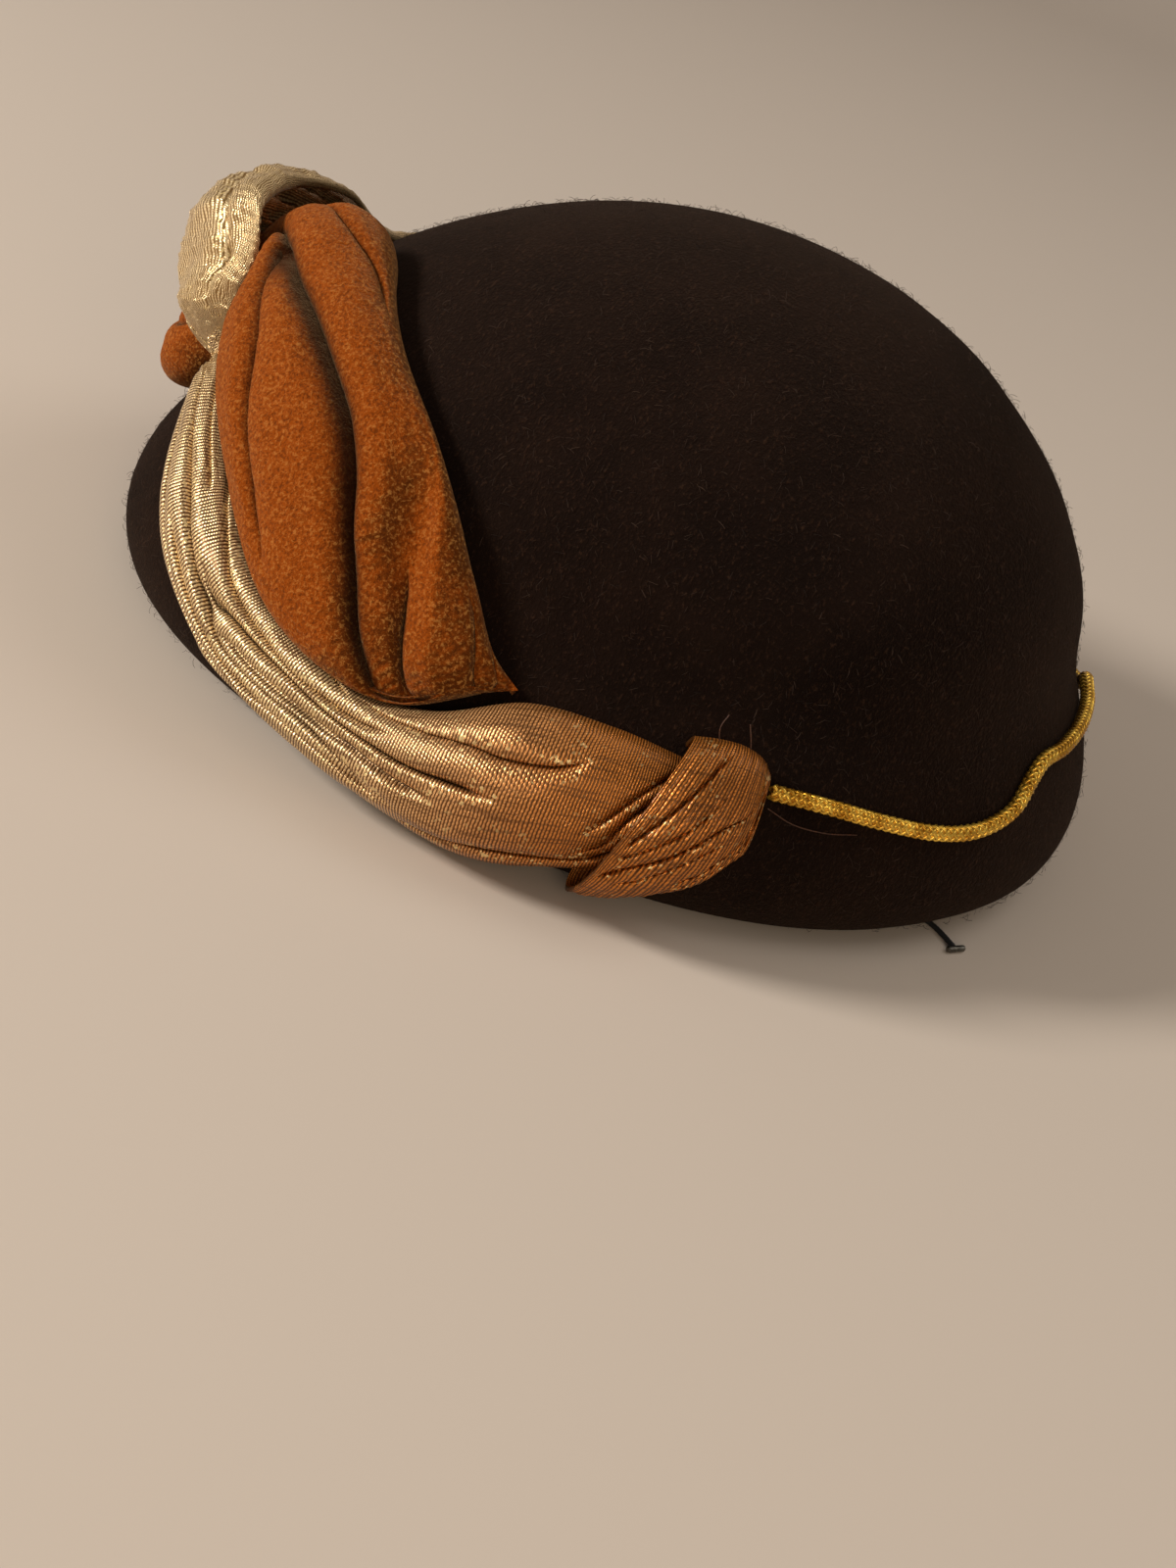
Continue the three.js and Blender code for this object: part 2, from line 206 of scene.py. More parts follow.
def fuzzFinish():
    s = Shader("feltFibre")
    tone = s.noise(s.coords.outputs["Object"], 220, 2)
    s.set(Base_Color=s.blend(s.ramp(tone, 0.35, 0.7), hex3("#1b110b"), hex3("#4a382d")), Roughness=0.8)
    s.set(Specular_IOR_Level=0.2)
    return s.material


def velvetFinish():
    # Painted light: faces turned towards the window light get a lighter, clear orange and fewer pale specks, the others
    # a darker tan with more specks. The crushed noise mixed in is the velvet's own random tone.
    s = Shader("rustVelvet")
    place = s.coords.outputs["Object"]
    paintedLitSide = s.attribute("paintedLitSide")
    nap = s.noise(place, 1250, 3, 0.7, 0.4)
    fine = s.noise(place, 2600, 2, 0.6)
    crushed = s.noise(place, 70, 3, 0.6)
    lean = s.ramp(s.math("ADD", paintedLitSide, s.math("MULTIPLY", s.math("SUBTRACT", crushed, 0.5), 0.9)), 0.2, 0.8)
    body = s.blend(lean, hex3("#5c2e08"), hex3("#8b3f06"))
    speck = s.ramp(nap, 0.51, 0.64)
    amount = s.math("MULTIPLY", speck, s.math("MULTIPLY_ADD", lean, -0.35, 0.62))
    napped = s.blend(amount, body, hex3("#cc8f48"))
    dark = s.math("MULTIPLY", s.ramp(s.math("SUBTRACT", 1, nap), 0.5, 0.64), 0.6)
    grained = s.blend(dark, napped, hex3("#472107"))
    # Painted shade: the bottoms of the sharp folds darken to near-black brown.
    deep = s.math("MULTIPLY", s.ramp(s.attribute("hollow"), 0.12, 0.85), 0.9)
    s.set(Base_Color=s.blend(deep, grained, hex3("#210b02")), Roughness=0.9, Specular_IOR_Level=0.06)
    s.set(Sheen_Weight=0.22, Sheen_Roughness=0.35, Sheen_Tint=(1.0, 0.68, 0.36, 1))
    s.bump(s.math("ADD", nap, s.math("MULTIPLY", fine, 0.5)), 0.0006, 0.8)
    return s.material


def goldFinish(name, deep, bright, far=None, dull=0.0, turned=False):
    # Plain weave of metal thread, about a millimetre to a pick, on a brown ground
    s = Shader(name)
    u, v, w = s.split(s.coords.outputs["UV"])
    place = s.coords.outputs["Object"]
    wander = s.math("MULTIPLY", s.math("SUBTRACT", s.noise(place, 240, 2), 0.5), 0.9)
    along = s.math("ADD", s.math("MULTIPLY", u, 10), wander)
    across = s.math("ADD", s.math("MULTIPLY", v, 12), wander)
    if turned:
        along, across = across, along
    row = s.math("MODULO", s.math("FLOOR", across), 2)
    beat = s.math("COSINE", s.math("MULTIPLY", s.math("ADD", along, s.math("MULTIPLY", row, 0.5)), math.tau))
    thread = s.math("COSINE", s.math("MULTIPLY", s.math("SUBTRACT", across, 0.5), math.tau))
    beat = s.math("MULTIPLY_ADD", beat, 0.5, 0.5)
    thread = s.math("MULTIPLY_ADD", thread, 0.5, 0.5)
    dot = s.math("MULTIPLY", thread, s.math("MULTIPLY_ADD", beat, 0.5, 0.5))
    patch = s.noise(place, 110, 3, 0.6)
    sparkRed, sparkGreen, sparkBlue = s.split(s.cells(place, 1500))
    hollow = s.attribute("hollow")
    paintedGatherShade = s.noise(s.stretch(s.coords.outputs["UV"], (0.5, 13, 1)), 1, 2, 0.5)
    # Painted glints: near-white gold spots on random cells, most near the edges of the sharp folds and in some patches.
    pleatEdge = s.math("SUBTRACT", s.ramp(hollow, 0.01, 0.08), s.ramp(hollow, 0.1, 0.4))
    paintedGlint = s.math("MULTIPLY", s.ramp(sparkRed, 0.86, 0.95),
                   s.math("MAXIMUM", pleatEdge, s.math("MULTIPLY", s.ramp(patch, 0.5, 0.62), 0.5)))
    shine = bright
    if far is not None:
        shine = s.blend(s.ramp(u, 4.0, 14.0), far, bright)
    cloth = s.blend(s.ramp(dot, 0.02, 0.7), deep, shine)
    # Painted shade: thin darker streaks along the strip stand for fine gathers that the mesh does not fold.
    cloth = s.blend(s.math("MULTIPLY", s.ramp(paintedGatherShade, 0.5, 0.66), 0.55), cloth, deep)
    cloth = s.blend(s.math("MULTIPLY", s.ramp(patch, 0.45, 0.75), 0.2), cloth, deep)
    # Painted shade: the bottoms of the sharp folds darken to deep brown.
    cloth = s.blend(s.math("MULTIPLY", s.ramp(hollow, 0.2, 0.8), 0.85), cloth, hex3("#2c1705"))
    # Painted glints in near-white gold
    cloth = s.blend(s.math("MULTIPLY", paintedGlint, 0.7), cloth, hex3("#ffe2a0"))
    rough = s.math("SUBTRACT", 0.4 + dull, s.math("MULTIPLY", sparkGreen, 0.14))
    s.set(Base_Color=cloth, Metallic=0.6 - dull, Roughness=rough)
    s.bump(s.math("ADD", dot, s.math("MULTIPLY", sparkGreen, 0.5)), 0.00016, 0.7)
    return s.material


def braidFinish():
    s = Shader("goldBraid")
    place = s.coords.outputs["Object"]
    tone = s.noise(place, 180, 2)
    s.set(Base_Color=s.blend(s.ramp(tone, 0.35, 0.7), hex3("#c08a24"), hex3("#f4c752")), Metallic=0.75)
    s.set(Roughness=0.27)
    s.bump(s.noise(place, 2400, 2), 0.00005, 0.3)
    return s.material


def plainFinish(name, first, second, scale, roughness, metallic=0.0, depth=0.0002):
    s = Shader(name)
    tone = s.noise(s.coords.outputs["Object"], scale, 3)
    s.set(Base_Color=s.blend(s.ramp(tone, 0.3, 0.7), first, second), Roughness=roughness, Metallic=metallic)
    s.bump(tone, depth, 0.7)
    return s.material


brownFelt = feltFinish()
feltFibre = fuzzFinish()
rustVelvet = velvetFinish()
goldCloth = goldFinish("goldCloth", hex3("#5c3614"), hex3("#ffdda4"), hex3("#d98434"), turned=True)
paleCloth = goldFinish("paleCloth", hex3("#8a6838"), hex3("#f8dcaa"))
goldBraid = braidFinish()
blackElastic = plainFinish("blackElastic", hex3("#070708"), hex3("#161618"), 2500, 0.75)
darkMetal = plainFinish("darkMetal", hex3("#4a463f"), hex3("#6a655c"), 900, 0.35, 0.9, 0.00005)
brownThread = plainFinish("brownThread", hex3("#2c1608"), hex3("#5a3218"), 3000, 0.6)

# Mesh helpers


def makeObject(name, points, faces, material, uv=None, smooth=True, marks=None):
    mesh = bpy.data.meshes.new(name)
    mesh.from_pydata(toMetres(points).tolist(), [], faces)
    mesh.materials.append(material)
    for label, values in (marks or {}).items():
        layer = mesh.attributes.new(label, "FLOAT", "POINT")
        layer.data.foreach_set("value", np.asarray(values, float).ravel())
    if smooth:
        mesh.shade_smooth()
    if uv is not None:
        layer = mesh.uv_layers.new(name="UVMap")
        corners = np.empty(len(mesh.loops), int)
        mesh.loops.foreach_get("vertex_index", corners)
        layer.data.foreach_set("uv", np.asarray(uv)[corners].ravel())
    mesh.validate()
    obj = bpy.data.objects.new(name, mesh)
    bpy.context.scene.collection.objects.link(obj)
    return obj


def smoothstep(x):
    x = np.clip(x, 0, 1)
    return x * x * (3 - 2 * x)


def crumple(u, v, size, seed, sharp=1.0):
    # A few crossing waves with fixed random directions, about -1 to 1
    random = np.random.default_rng(seed)
    total = np.zeros_like(u)
    for step in range(6):
        turn = random.uniform(0, math.pi)
        wave = random.uniform(0.7, 1.6) / size
        phase = random.uniform(0, math.tau)
        line = (u * math.cos(turn) + v * math.sin(turn)) * wave * math.tau + phase
        line += 0.8 * np.sin(total * 2 + step)
        ridge = 1 - 2 * np.abs(np.sin(line / 2)) if sharp else np.sin(line)
        total += ridge / 6 ** 0.5 / 1.3
    return total


# Felt surface, with the same sizes as the solid

felt = {
    "length": 240,
    "width": 212,
    "wall": 2.5,
    "widestHeight": 15.5,
    "domeRise": 99,
    "domePower": 1.6,
    "planPower": 2.15,
    "planEgg": 0.06,
    "lean": 11,
    "breakDepth": 5,
    "breakHeight": 30,
    "breakSpread": 16,
    "rollInset": 14.5,
    "rollPower": 2.3,
    "curlRadius": 4,
    "curlHeight": 9.5,
    "rimWave": 1,
    "rimLobes": 3,
    "firstLobe": 122,
    "footPress": 0.8,
    "notchBearing": 157,
    "notchRise": 1.4,
    "notchSpread": 13,
}


def ovalRadius(bearing):
    forward = np.cos(np.radians(bearing))
    side = np.sin(np.radians(bearing))
    power = felt["planPower"]
    total = np.abs(2 * forward / felt["length"]) ** power + np.abs(2 * side / felt["width"]) ** power
    return total ** (-1 / power) * (1 + felt["planEgg"] * forward * side * side)


def crownPoint(bearing, radius, height):
    rise = np.clip((height - felt["widestHeight"]) / felt["domeRise"], 0, 1)
    a = np.radians(bearing)
    parts = [np.sin(a) * radius, -np.cos(a) * radius + felt["lean"] * rise * rise, height + 0 * a]
    return np.stack(parts, -1)


def breakInset(height):
    away = (height - felt["widestHeight"] - felt["breakHeight"]) / felt["breakSpread"]
    return felt["breakDepth"] * np.exp(-away * away)


def feltRadius(bearing, height):
    oval = ovalRadius(bearing)
    rise = np.clip((height - felt["widestHeight"]) / felt["domeRise"], 0, 1)
    dome = oval * np.sqrt(1 - rise ** felt["domePower"]) - breakInset(height)
    drop = np.clip(1 - height / felt["widestHeight"], 0, 1)
    turn = np.arcsin(drop ** (felt["rollPower"] / 2))
    inset = felt["rollInset"] * (1 - np.cos(turn) ** (2 / felt["rollPower"]))
    rolled = oval - breakInset(felt["widestHeight"]) - inset
    return np.where(height >= felt["widestHeight"], dome, rolled)


def feltPoint(bearing, height):
    return crownPoint(bearing, feltRadius(bearing, height), height)


def unit(vectors):
    return vectors / np.maximum(np.linalg.norm(vectors, axis=-1, keepdims=True), 1e-9)


def feltNormal(bearing, height):
    low = np.maximum(height - 0.4, 0.2)
    along = feltPoint(bearing + 0.4, height) - feltPoint(bearing - 0.4, height)
    up = feltPoint(bearing, height + 0.4) - feltPoint(bearing, low)
    return unit(np.cross(along, up))


def rimLift(bearing):
    lobe = 0.5 - 0.5 * np.cos(np.radians(felt["rimLobes"] * (bearing - felt["firstLobe"])))
    away = (bearing - felt["notchBearing"]) / felt["notchSpread"]
    notch = felt["notchRise"] * np.exp(-away * away)
    return felt["rimWave"] * lobe + notch - felt["footPress"] * (1 - lobe)


shell = {
    "around": 216,
    "domeSteps": 58,
    "rollSteps": 14,
    "curlSteps": 7,
    "wobble": 0.22,          # how far the blocked felt wanders from its true shape
}


def feltSection(bearing):
    climb = np.radians(90 * (1 - np.arange(1, shell["domeSteps"] + 1) / shell["domeSteps"]))
    heights = felt["widestHeight"] + felt["domeRise"] * np.sin(climb) ** (2 / felt["domePower"])
    points = [(float(feltRadius(bearing, h)), float(h)) for h in heights]
    oval = float(ovalRadius(bearing) - breakInset(felt["widestHeight"]))
    for turn in np.radians(90 * np.arange(1, shell["rollSteps"] + 1) / shell["rollSteps"]):
        height = felt["widestHeight"] * (1 - math.sin(turn) ** (2 / felt["rollPower"]))
        inset = felt["rollInset"] * (1 - max(math.cos(turn), 0) ** (2 / felt["rollPower"]))
        points.append((oval - inset, height))
    centre = oval - felt["rollInset"] - 1.5
    for turn in np.radians(90 * np.arange(shell["curlSteps"] + 1) / shell["curlSteps"]):
        radius = centre - felt["curlRadius"] * math.sin(turn)
        points.append((radius, felt["curlRadius"] * (1 - math.cos(turn))))
    points.append((centre - felt["curlRadius"] + 0.2, felt["curlHeight"] * 0.75))
    points.append((centre - felt["curlRadius"] + 0.4, felt["curlHeight"]))
    return np.array(points)


def feltShell():
    bearings = 360 * np.arange(shell["around"]) / shell["around"]
    rows = []
    for bearing in bearings:
        outer = feltSection(bearing)
        run = np.gradient(outer, axis=0)
        run[0] = (1, 0)
        run = unit(run)
        inner = outer + felt["wall"] * np.stack([run[:, 1], -run[:, 0]], 1)
        mid = (outer[-1] + inner[-1]) / 2 + (0, 0.9)
        loop = np.concatenate([outer, [mid], inner[::-1]])
        share = np.clip(1 - loop[:, 1] / felt["widestHeight"], 0, 1)
        height = np.maximum(loop[:, 1] + rimLift(bearing) * share, 0)
        points = crownPoint(np.full(len(loop), bearing), loop[:, 0], height)
        high = smoothstep((height - 20) / 30)
        wave = crumple(points[:, 0] + points[:, 2], points[:, 1] - points[:, 2], 60, 4, 0)
        outward = unit(points - (0, 0, 20))
        points += outward * (shell["wobble"] * wave * high)[:, None]
        rows.append(points)
    grid = np.array(rows)
    around, steps = grid.shape[:2]
    top = felt["widestHeight"] + felt["domeRise"]
    poles = [crownPoint(0.0, 0.0, top), crownPoint(0.0, 0.0, top - felt["wall"])]
    points = np.concatenate([np.array(poles), grid.reshape(-1, 3)])
    faces = []
    for i in range(around):
        here = 2 + i * steps
        there = 2 + (i + 1) % around * steps
        faces.append((0, here, there))
        faces.append((1, there + steps - 1, here + steps - 1))
        for k in range(steps - 1):
            faces.append((here + k, here + k + 1, there + k + 1, there + k))
    cap = makeObject("feltCap", points, faces, brownFelt)
    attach(cap, "root")
    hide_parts("felt_cap")
    return cap


feltCap = feltShell()
print("felt cap", len(feltCap.data.polygons))

# Sashes: strips that follow tables of rows over the felt, as in the solid

columns = ["lowBearing", "lowHeight", "highBearing", "highHeight", "lowLift", "highLift", "swell"]

goldRows = np.array([
    (121, 20, 122, 34, 0, 0, 3),
    (114, 14, 115, 35.5, 0, 0, 8.5),
    (106, 9.5, 107, 36.5, 0, 0, 11.5),
    (97, 5.5, 97, 35, 0, 0, 13),
    (88, 6.5, 88, 27.5, 0, 0, 12),
    (78, 8.5, 80, 25, 0, 0, 10),
    (69, 10.5, 71, 27.5, 0, 0, 9),
    (60, 15, 63, 31.5, 0, 0, 9.5),
    (50, 23, 54, 38, 0, 0, 10),
    (40, 32.5, 44, 45, 0, 0, 9.5),
    (29.5, 41.5, 32.5, 53, 0.6, 0, 8),
    (22, 46, 25, 54, 0.9, 1, 5),
    (18, 44, 27, 60, 6, 7.5, 11),
    (13.5, 46, 26.5, 68.5, 16, 14.8, 6.5),
    (6, 49, 22.5, 72, 20, 21.5, 8.5),
    (-4, 50, 14, 74.5, 22, 20, 8.5),
    (-14, 51, 3, 76, 14, 12, 5.5),
    (-26, 48, -13, 70.5, 2, 0.3, 7),
    (-40, 47, -42, 67, 0, 0.4, 9),
    (-54, 43, -60, 70, 0, 0.3, 11),
    (-66, 36, -73, 65, 0, 0, 11),
    (-76, 31, -84, 54, 0, 0, 9),
    (-85, 29.5, -92, 42, 0, 0, 6),
    (-93, 35, -98, 38.5, 0, 0, 2),
], float)

velvetRows = np.array([
    (91, 33, 95, 36.3, 0.6, 0, 2),
    (84.5, 26, 90, 41, 2.5, 0, 8),
    (77, 25, 84, 51.5, 4.5, 0, 11),
    (67, 28.5, 77, 62.5, 4.5, 0, 13),
    (56, 37, 68, 71, 3.5, 0, 14),
    (45, 46.3, 56, 77.5, 2, 0, 15.5),
    (35.5, 56.3, 42.5, 82.8, 0.5, 0, 18),
    (29, 64, 30.5, 85.5, 0, 0, 19.5),
    (22.5, 66, 21, 83.5, 0, 0, 18.5),
    (17, 51, 10, 73, 0, 0, 14.5),
    (13.5, 31, 3, 64, 0, 0, 17),
    (4, 26, -6, 55, 0, 0, 18),
    (-11, 27, -15, 47, 0, 0, 14),
    (-24, 30, -26, 46, 0, 0, 10),
    (-36, 32, -38, 45, 0, 0, 8),
    (-48, 26, -51, 41, 0, 0, 7),
    (-60, 15, -63, 32, 0, 0, 7),
    (-69, 10, -71, 27.5, 0, 0, 8),
    (-78, 8.5, -80, 27.5, 0, 0, 10),
    (-88, 6.5, -88, 30, 0, 0, 12),
    (-97, 5.5, -97, 35.5, 0, 0, 13),
    (-106, 10, -107, 36.5, 0, 0, 11),
    (-114, 15, -115, 35, 0, 0, 8),
    (-121, 20, -122, 33, 0, 0, 3),
], float)

wrapRows = np.array([
    (108, 7, 116, 39.5, 0, 0, 13.3),
    (111, 7.5, 119, 40.3, 0, 0, 13),
    (116, 10, 122, 40.3, 0, 0, 11),
    (121, 14.5, 124.5, 39, 0, 0, 8),
    (125, 21.5, 126, 36.5, 0, 0, 3),
], float)

rollSweep = 115              # half the arc of a sash's section, in degrees
clothGap = 0.45


def smoothRows(rows, along):
    place = np.clip(along, 0, 1) * (len(rows) - 1)
    i = np.minimum(np.floor(place).astype(int), len(rows) - 2)
    t = (place - i)[..., None]
    a, b, c, d = (rows[np.clip(i + k, 0, len(rows) - 1)] for k in (-1, 0, 1, 2))
    start = (c - a) / 2
    finish = (d - b) / 2
    square = t * t
    cube = square * t
    return (b * (2 * cube - 3 * square + 1) + start * (cube - 2 * square + t)
            + c * (3 * square - 2 * cube) + finish * (cube - square))


def foldMove(crease, along, across, length, width):
    # How deep a fold lies at each point and how far its lapping side leans over it, in millimetres
    knots = np.array(crease["path"], float)
    path = smoothRows(knots, np.linspace(0, 1, 8 * len(knots))) if len(knots) > 2 else knots
    path = path * (length, width)
    u = along * length
    v = across * width
    best = np.full(u.shape, 1e9)
    side = np.zeros(u.shape)
    place = np.zeros(u.shape)
    pieces = len(path) - 1
    for k in range(pieces):
        a = path[k]
        run = path[k + 1] - a
        size = max(float(run @ run), 1e-9)
        t = np.clip(((u - a[0]) * run[0] + (v - a[1]) * run[1]) / size, 0, 1)
        du = u - a[0] - t * run[0]
        dv = v - a[1] - t * run[1]
        away = np.hypot(du, dv)
        nearer = away < best
        best = np.where(nearer, away, best)
        side = np.where(nearer, run[0] * dv - run[1] * du, side)
        place = np.where(nearer, (k + t) / pieces, place)
    flip = 1 if path[-1][0] > path[0][0] else -1
    above = side * flip > 0
    x = np.clip(best / np.where(above, crease["above"], crease["below"]), 0, 1)
    shape = 1 - np.sqrt(1 - (1 - x) ** 2) if crease["sharp"] else 0.5 + 0.5 * np.cos(math.pi * x)
    fadeIn, fadeOut = crease["fade"]
    ends = smoothstep(place / max(fadeIn, 1e-6)) * smoothstep((1 - place) / max(fadeOut, 1e-6))
    lap = crease["lap"]
    leaning = np.where(above == (lap > 0), 27 / 4 * x * (1 - x) ** 2, 0)
    return crease["depth"] * shape * ends, -lap * leaning * ends


def stripPoints(strip, along, across):
    row = dict(zip(columns, np.moveaxis(smoothRows(strip["rows"], along), -1, 0)))
    angle = np.radians(rollSweep * (2 * across - 1))
    foot = math.cos(math.radians(rollSweep))
    share = 0.5 + 0.5 * np.sin(angle)
    rise = (np.cos(angle) - foot) / (1 - foot)
    bearing = strip["side"] * (row["lowBearing"] * (1 - share) + row["highBearing"] * share)
    height = row["lowHeight"] * (1 - share) + row["highHeight"] * share
    lifted = row["lowLift"] * (1 - share) + row["highLift"] * share
    swell = row["swell"] * rise
    length, width = strip["flat"]
    nearEdge = np.minimum(1, 3.5 * rise)
    relief = np.zeros_like(swell)
    lean = np.zeros_like(swell)
    for crease in strip["creases"]:
        drop, move = foldMove(crease, along, across, length, width)
        relief -= drop
        lean += move
    relief += strip["crinkle"](along, across) if strip.get("crinkle") else 0
    lowest = (strip["thickness"] + 0.3) * nearEdge
    body = swell + relief * np.minimum(1, 2.2 * rise)
    off = clothGap + lifted + strip.get("raise", 0) * nearEdge + np.maximum(body, lowest)
    base = feltPoint(bearing, height)
    outward = feltNormal(bearing, height)
    points = base + outward * off[..., None]
    if strip["creases"]:
        crossing = unit(np.gradient(base + outward * (clothGap + lifted + swell)[..., None], axis=1))
        points += crossing * (lean * smoothstep(rise * 2))[..., None]
    points[..., 2] = np.maximum(points[..., 2], strip["thickness"] + 0.3)
    return points


def foldSamples(strip, alongs, count):
    # The grid's columns lie closer together near the folds
    fine = np.linspace(0, 1, 500)
    spans = []
    for crease in strip["creases"]:
        knots = np.array(crease["path"], float)
        knots = knots[np.argsort(knots[:, 0])]
        spans.append((knots, 0.5 * (crease["below"] + crease["above"]) / strip["flat"][1]))
    rows = []
    for along in alongs:
        density = np.ones_like(fine)
        for knots, reach in spans:
            near = smoothstep((along - knots[0, 0] + 0.02) / 0.02) * smoothstep((knots[-1, 0] + 0.02 - along) / 0.02)
            place = np.interp(along, knots[:, 0], knots[:, 1])
            density += 3 * near * np.exp(-((fine - place) / (0.7 * reach)) ** 2)
        total = np.concatenate([[0], np.cumsum((density[1:] + density[:-1]) / 2)])
        rows.append(np.interp(np.linspace(0, total[-1], count), total, fine))
    return np.array(rows)


def gridFaces(rows, cols, first=0):
    i, k = np.meshgrid(np.arange(rows - 1), np.arange(cols - 1), indexing="ij")
    a = (first + i * cols + k).ravel()
    return np.stack([a, a + cols, a + cols + 1, a + 1], 1)


def clothStrip(name, strip, material, start=0.0, finish=1.0):
    rows, cols = strip["grid"]
    alongs = np.linspace(start, finish, rows)
    across = foldSamples(strip, alongs, cols)
    along = np.broadcast_to(alongs[:, None], across.shape)
    outer = stripPoints(strip, along, across)
    smooth = dict(strip, creases=[], crinkle=None)
    base = stripPoints(smooth, along, across)
    normal = unit(np.cross(np.gradient(base, axis=0), np.gradient(base, axis=1)))
    middleRow = base[rows // 2, cols // 2]
    facing = 1 if normal[rows // 2, cols // 2] @ (middleRow - (0, 0, 30)) > 0 else -1
    plain = dict(strip, creases=[dict(crease, lap=0) for crease in strip["creases"]])
    inner = stripPoints(plain, along, across) - normal * facing * strip["thickness"]
    inner[..., 2] = np.maximum(inner[..., 2], 0.3)
    total = rows * cols
    faces = gridFaces(rows, cols)
    back = gridFaces(rows, cols, total)[:, ::-1]
    ids = np.arange(total).reshape(rows, cols)
    ring = np.concatenate([ids[:, 0], ids[-1, 1:], ids[-2::-1, -1], ids[0, -2:0:-1]])
    after = np.roll(ring, -1)
    rim = np.stack([after, ring, ring + total, after + total], 1)
    faces = np.concatenate([faces, back, rim])
    if facing < 0:
        faces = faces[:, ::-1]
    length, width = strip["flat"]
    uv = np.stack([along * length / 10, across * width / 10], -1).reshape(-1, 2)
    points = np.concatenate([outer.reshape(-1, 3), inner.reshape(-1, 3)])
    skin = unit(np.cross(np.gradient(outer, axis=0), np.gradient(outer, axis=1))) * facing
    # Painted light: how far each face of the cloth turns towards the window light, for the velvet's lit and shaded
    # colours
    paintedLitSide = 0.5 + 0.5 * (skin @ unit(np.array(paintedLightDirection)))
    # How deep the sharp folds lie, for the painted shade in their bottoms and the painted glints near their edges
    sharpFolds = [crease for crease in strip["creases"] if crease["sharp"]]
    hollow = sum(foldMove(crease, along, across, length, width)[0] for crease in sharpFolds) / fullFold
    marks = {"paintedLitSide": np.stack([paintedLitSide, paintedLitSide]), "hollow": np.stack([hollow, hollow])}
    obj = makeObject(name, points, faces.tolist(), material, np.concatenate([uv, uv]), marks=marks)
    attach(obj, "root")
    return obj


# Direction of the window light, used to paint the velvet's lit and shaded sides
paintedLightDirection = (0.25, -0.85, 0.45)
fullFold = 4.5               # a fold this deep in millimetres gets the full painted shade at its bottom


def fold(depth, below, above, path, lap=0, sharp=True, fade=(0.15, 0.15)):
    # depth and the reach below and above the line in millimetres; lap is how far the upper side leans over
    return {"depth": depth, "below": below, "above": above, "path": path, "lap": lap, "sharp": sharp, "fade": fade}


goldBand = {
    "rows": goldRows,
    "side": 1,
    "thickness": 1.0,
    "flat": (560, 62),       # length and width that the folds below are measured in
    "cut": (50, 212),        # width and length of the cloth before it was gathered
    "grid": (430, 108),
    "creases": [
        fold(4.5, 3.5, 5.5, [(0.45, 0.55), (0.402, 0.55), (0.374, 0.55), (0.356, 0.537), (0.327, 0.494),
                             (0.309, 0.475), (0.293, 0.431), (0.275, 0.425), (0.251, 0.45), (0.23, 0.463),
                             (0.208, 0.431), (0.19, 0.39), (0.17, 0.36)], 1.2),
        fold(4.5, 3.5, 4, [(0.33, 0.56), (0.31, 0.525), (0.288, 0.555), (0.267, 0.565), (0.249, 0.569),
                           (0.225, 0.562), (0.196, 0.544), (0.177, 0.525), (0.157, 0.506), (0.138, 0.488),
                           (0.12, 0.48)], -1.0),
        fold(5.0, 3.5, 4.5, [(0.4, 0.86), (0.374, 0.838), (0.353, 0.763), (0.33, 0.7), (0.314, 0.656),
                             (0.295, 0.644), (0.277, 0.644), (0.261, 0.636), (0.245, 0.633), (0.225, 0.65),
                             (0.204, 0.638), (0.185, 0.63)], 1.5),
        fold(4.5, 3.5, 4, [(0.385, 0.95), (0.368, 0.92), (0.345, 0.84), (0.327, 0.775), (0.304, 0.769),
                           (0.283, 0.788), (0.259, 0.785), (0.24, 0.75), (0.22, 0.73)], -1.2),
        fold(3.0, 2.5, 3, [(0.36, 0.42), (0.334, 0.406), (0.303, 0.381), (0.285, 0.366), (0.26, 0.38),
                           (0.228, 0.4), (0.198, 0.37), (0.18, 0.34)], 0.8),
        fold(3.5, 2.5, 2.5, [(0.3, 0.48), (0.27, 0.49), (0.24, 0.51), (0.21, 0.505), (0.18, 0.47), (0.15, 0.44)]),
        fold(3.5, 5, 3, [(0.22, 0.76), (0.19, 0.73), (0.165, 0.68), (0.145, 0.63), (0.13, 0.6), (0.11, 0.6),
                         (0.09, 0.63)], 1.5),
        fold(3.6, 3, 4, [(0.175, 0.28), (0.152, 0.288), (0.128, 0.312), (0.102, 0.294), (0.08, 0.285),
                         (0.061, 0.335), (0.053, 0.4), (0.046, 0.456), (0.04, 0.525), (0.031, 0.606),
                         (0.02, 0.74)], -1.0, fade=(0.15, 0.02)),
        fold(3.0, 2.5, 3.5, [(0.095, 0.32), (0.07, 0.36), (0.065, 0.42), (0.059, 0.486), (0.052, 0.53),
                             (0.042, 0.58), (0.03, 0.68), (0.02, 0.77)], -0.8, fade=(0.2, 0.02)),
        fold(2.4, 2, 2.5, [(0.085, 0.4), (0.072, 0.47), (0.06, 0.56), (0.045, 0.66), (0.028, 0.77)], -0.5,
             fade=(0.3, 0.05)),
        fold(2.4, 2.5, 2.5, [(0.47, 0.35), (0.43, 0.37), (0.4, 0.39), (0.36, 0.34), (0.32, 0.3), (0.27, 0.28),
                             (0.22, 0.26)], 0.5),
        fold(2.6, 2.5, 2.5, [(0.47, 0.7), (0.44, 0.7), (0.41, 0.7), (0.38, 0.69), (0.36, 0.66)], 0.5),
    ],
}


def goldLeftCrinkle(along, across):
    u = along * 560
    v = across * 62
    pinched = np.exp(-((along - 0.47) / 0.03) ** 2)
    return 0.3 * crumple(u / 4, v, 9, 11) + 1.1 * pinched * crumple(u / 2, v, 5, 12)


goldBand["crinkle"] = goldLeftCrinkle

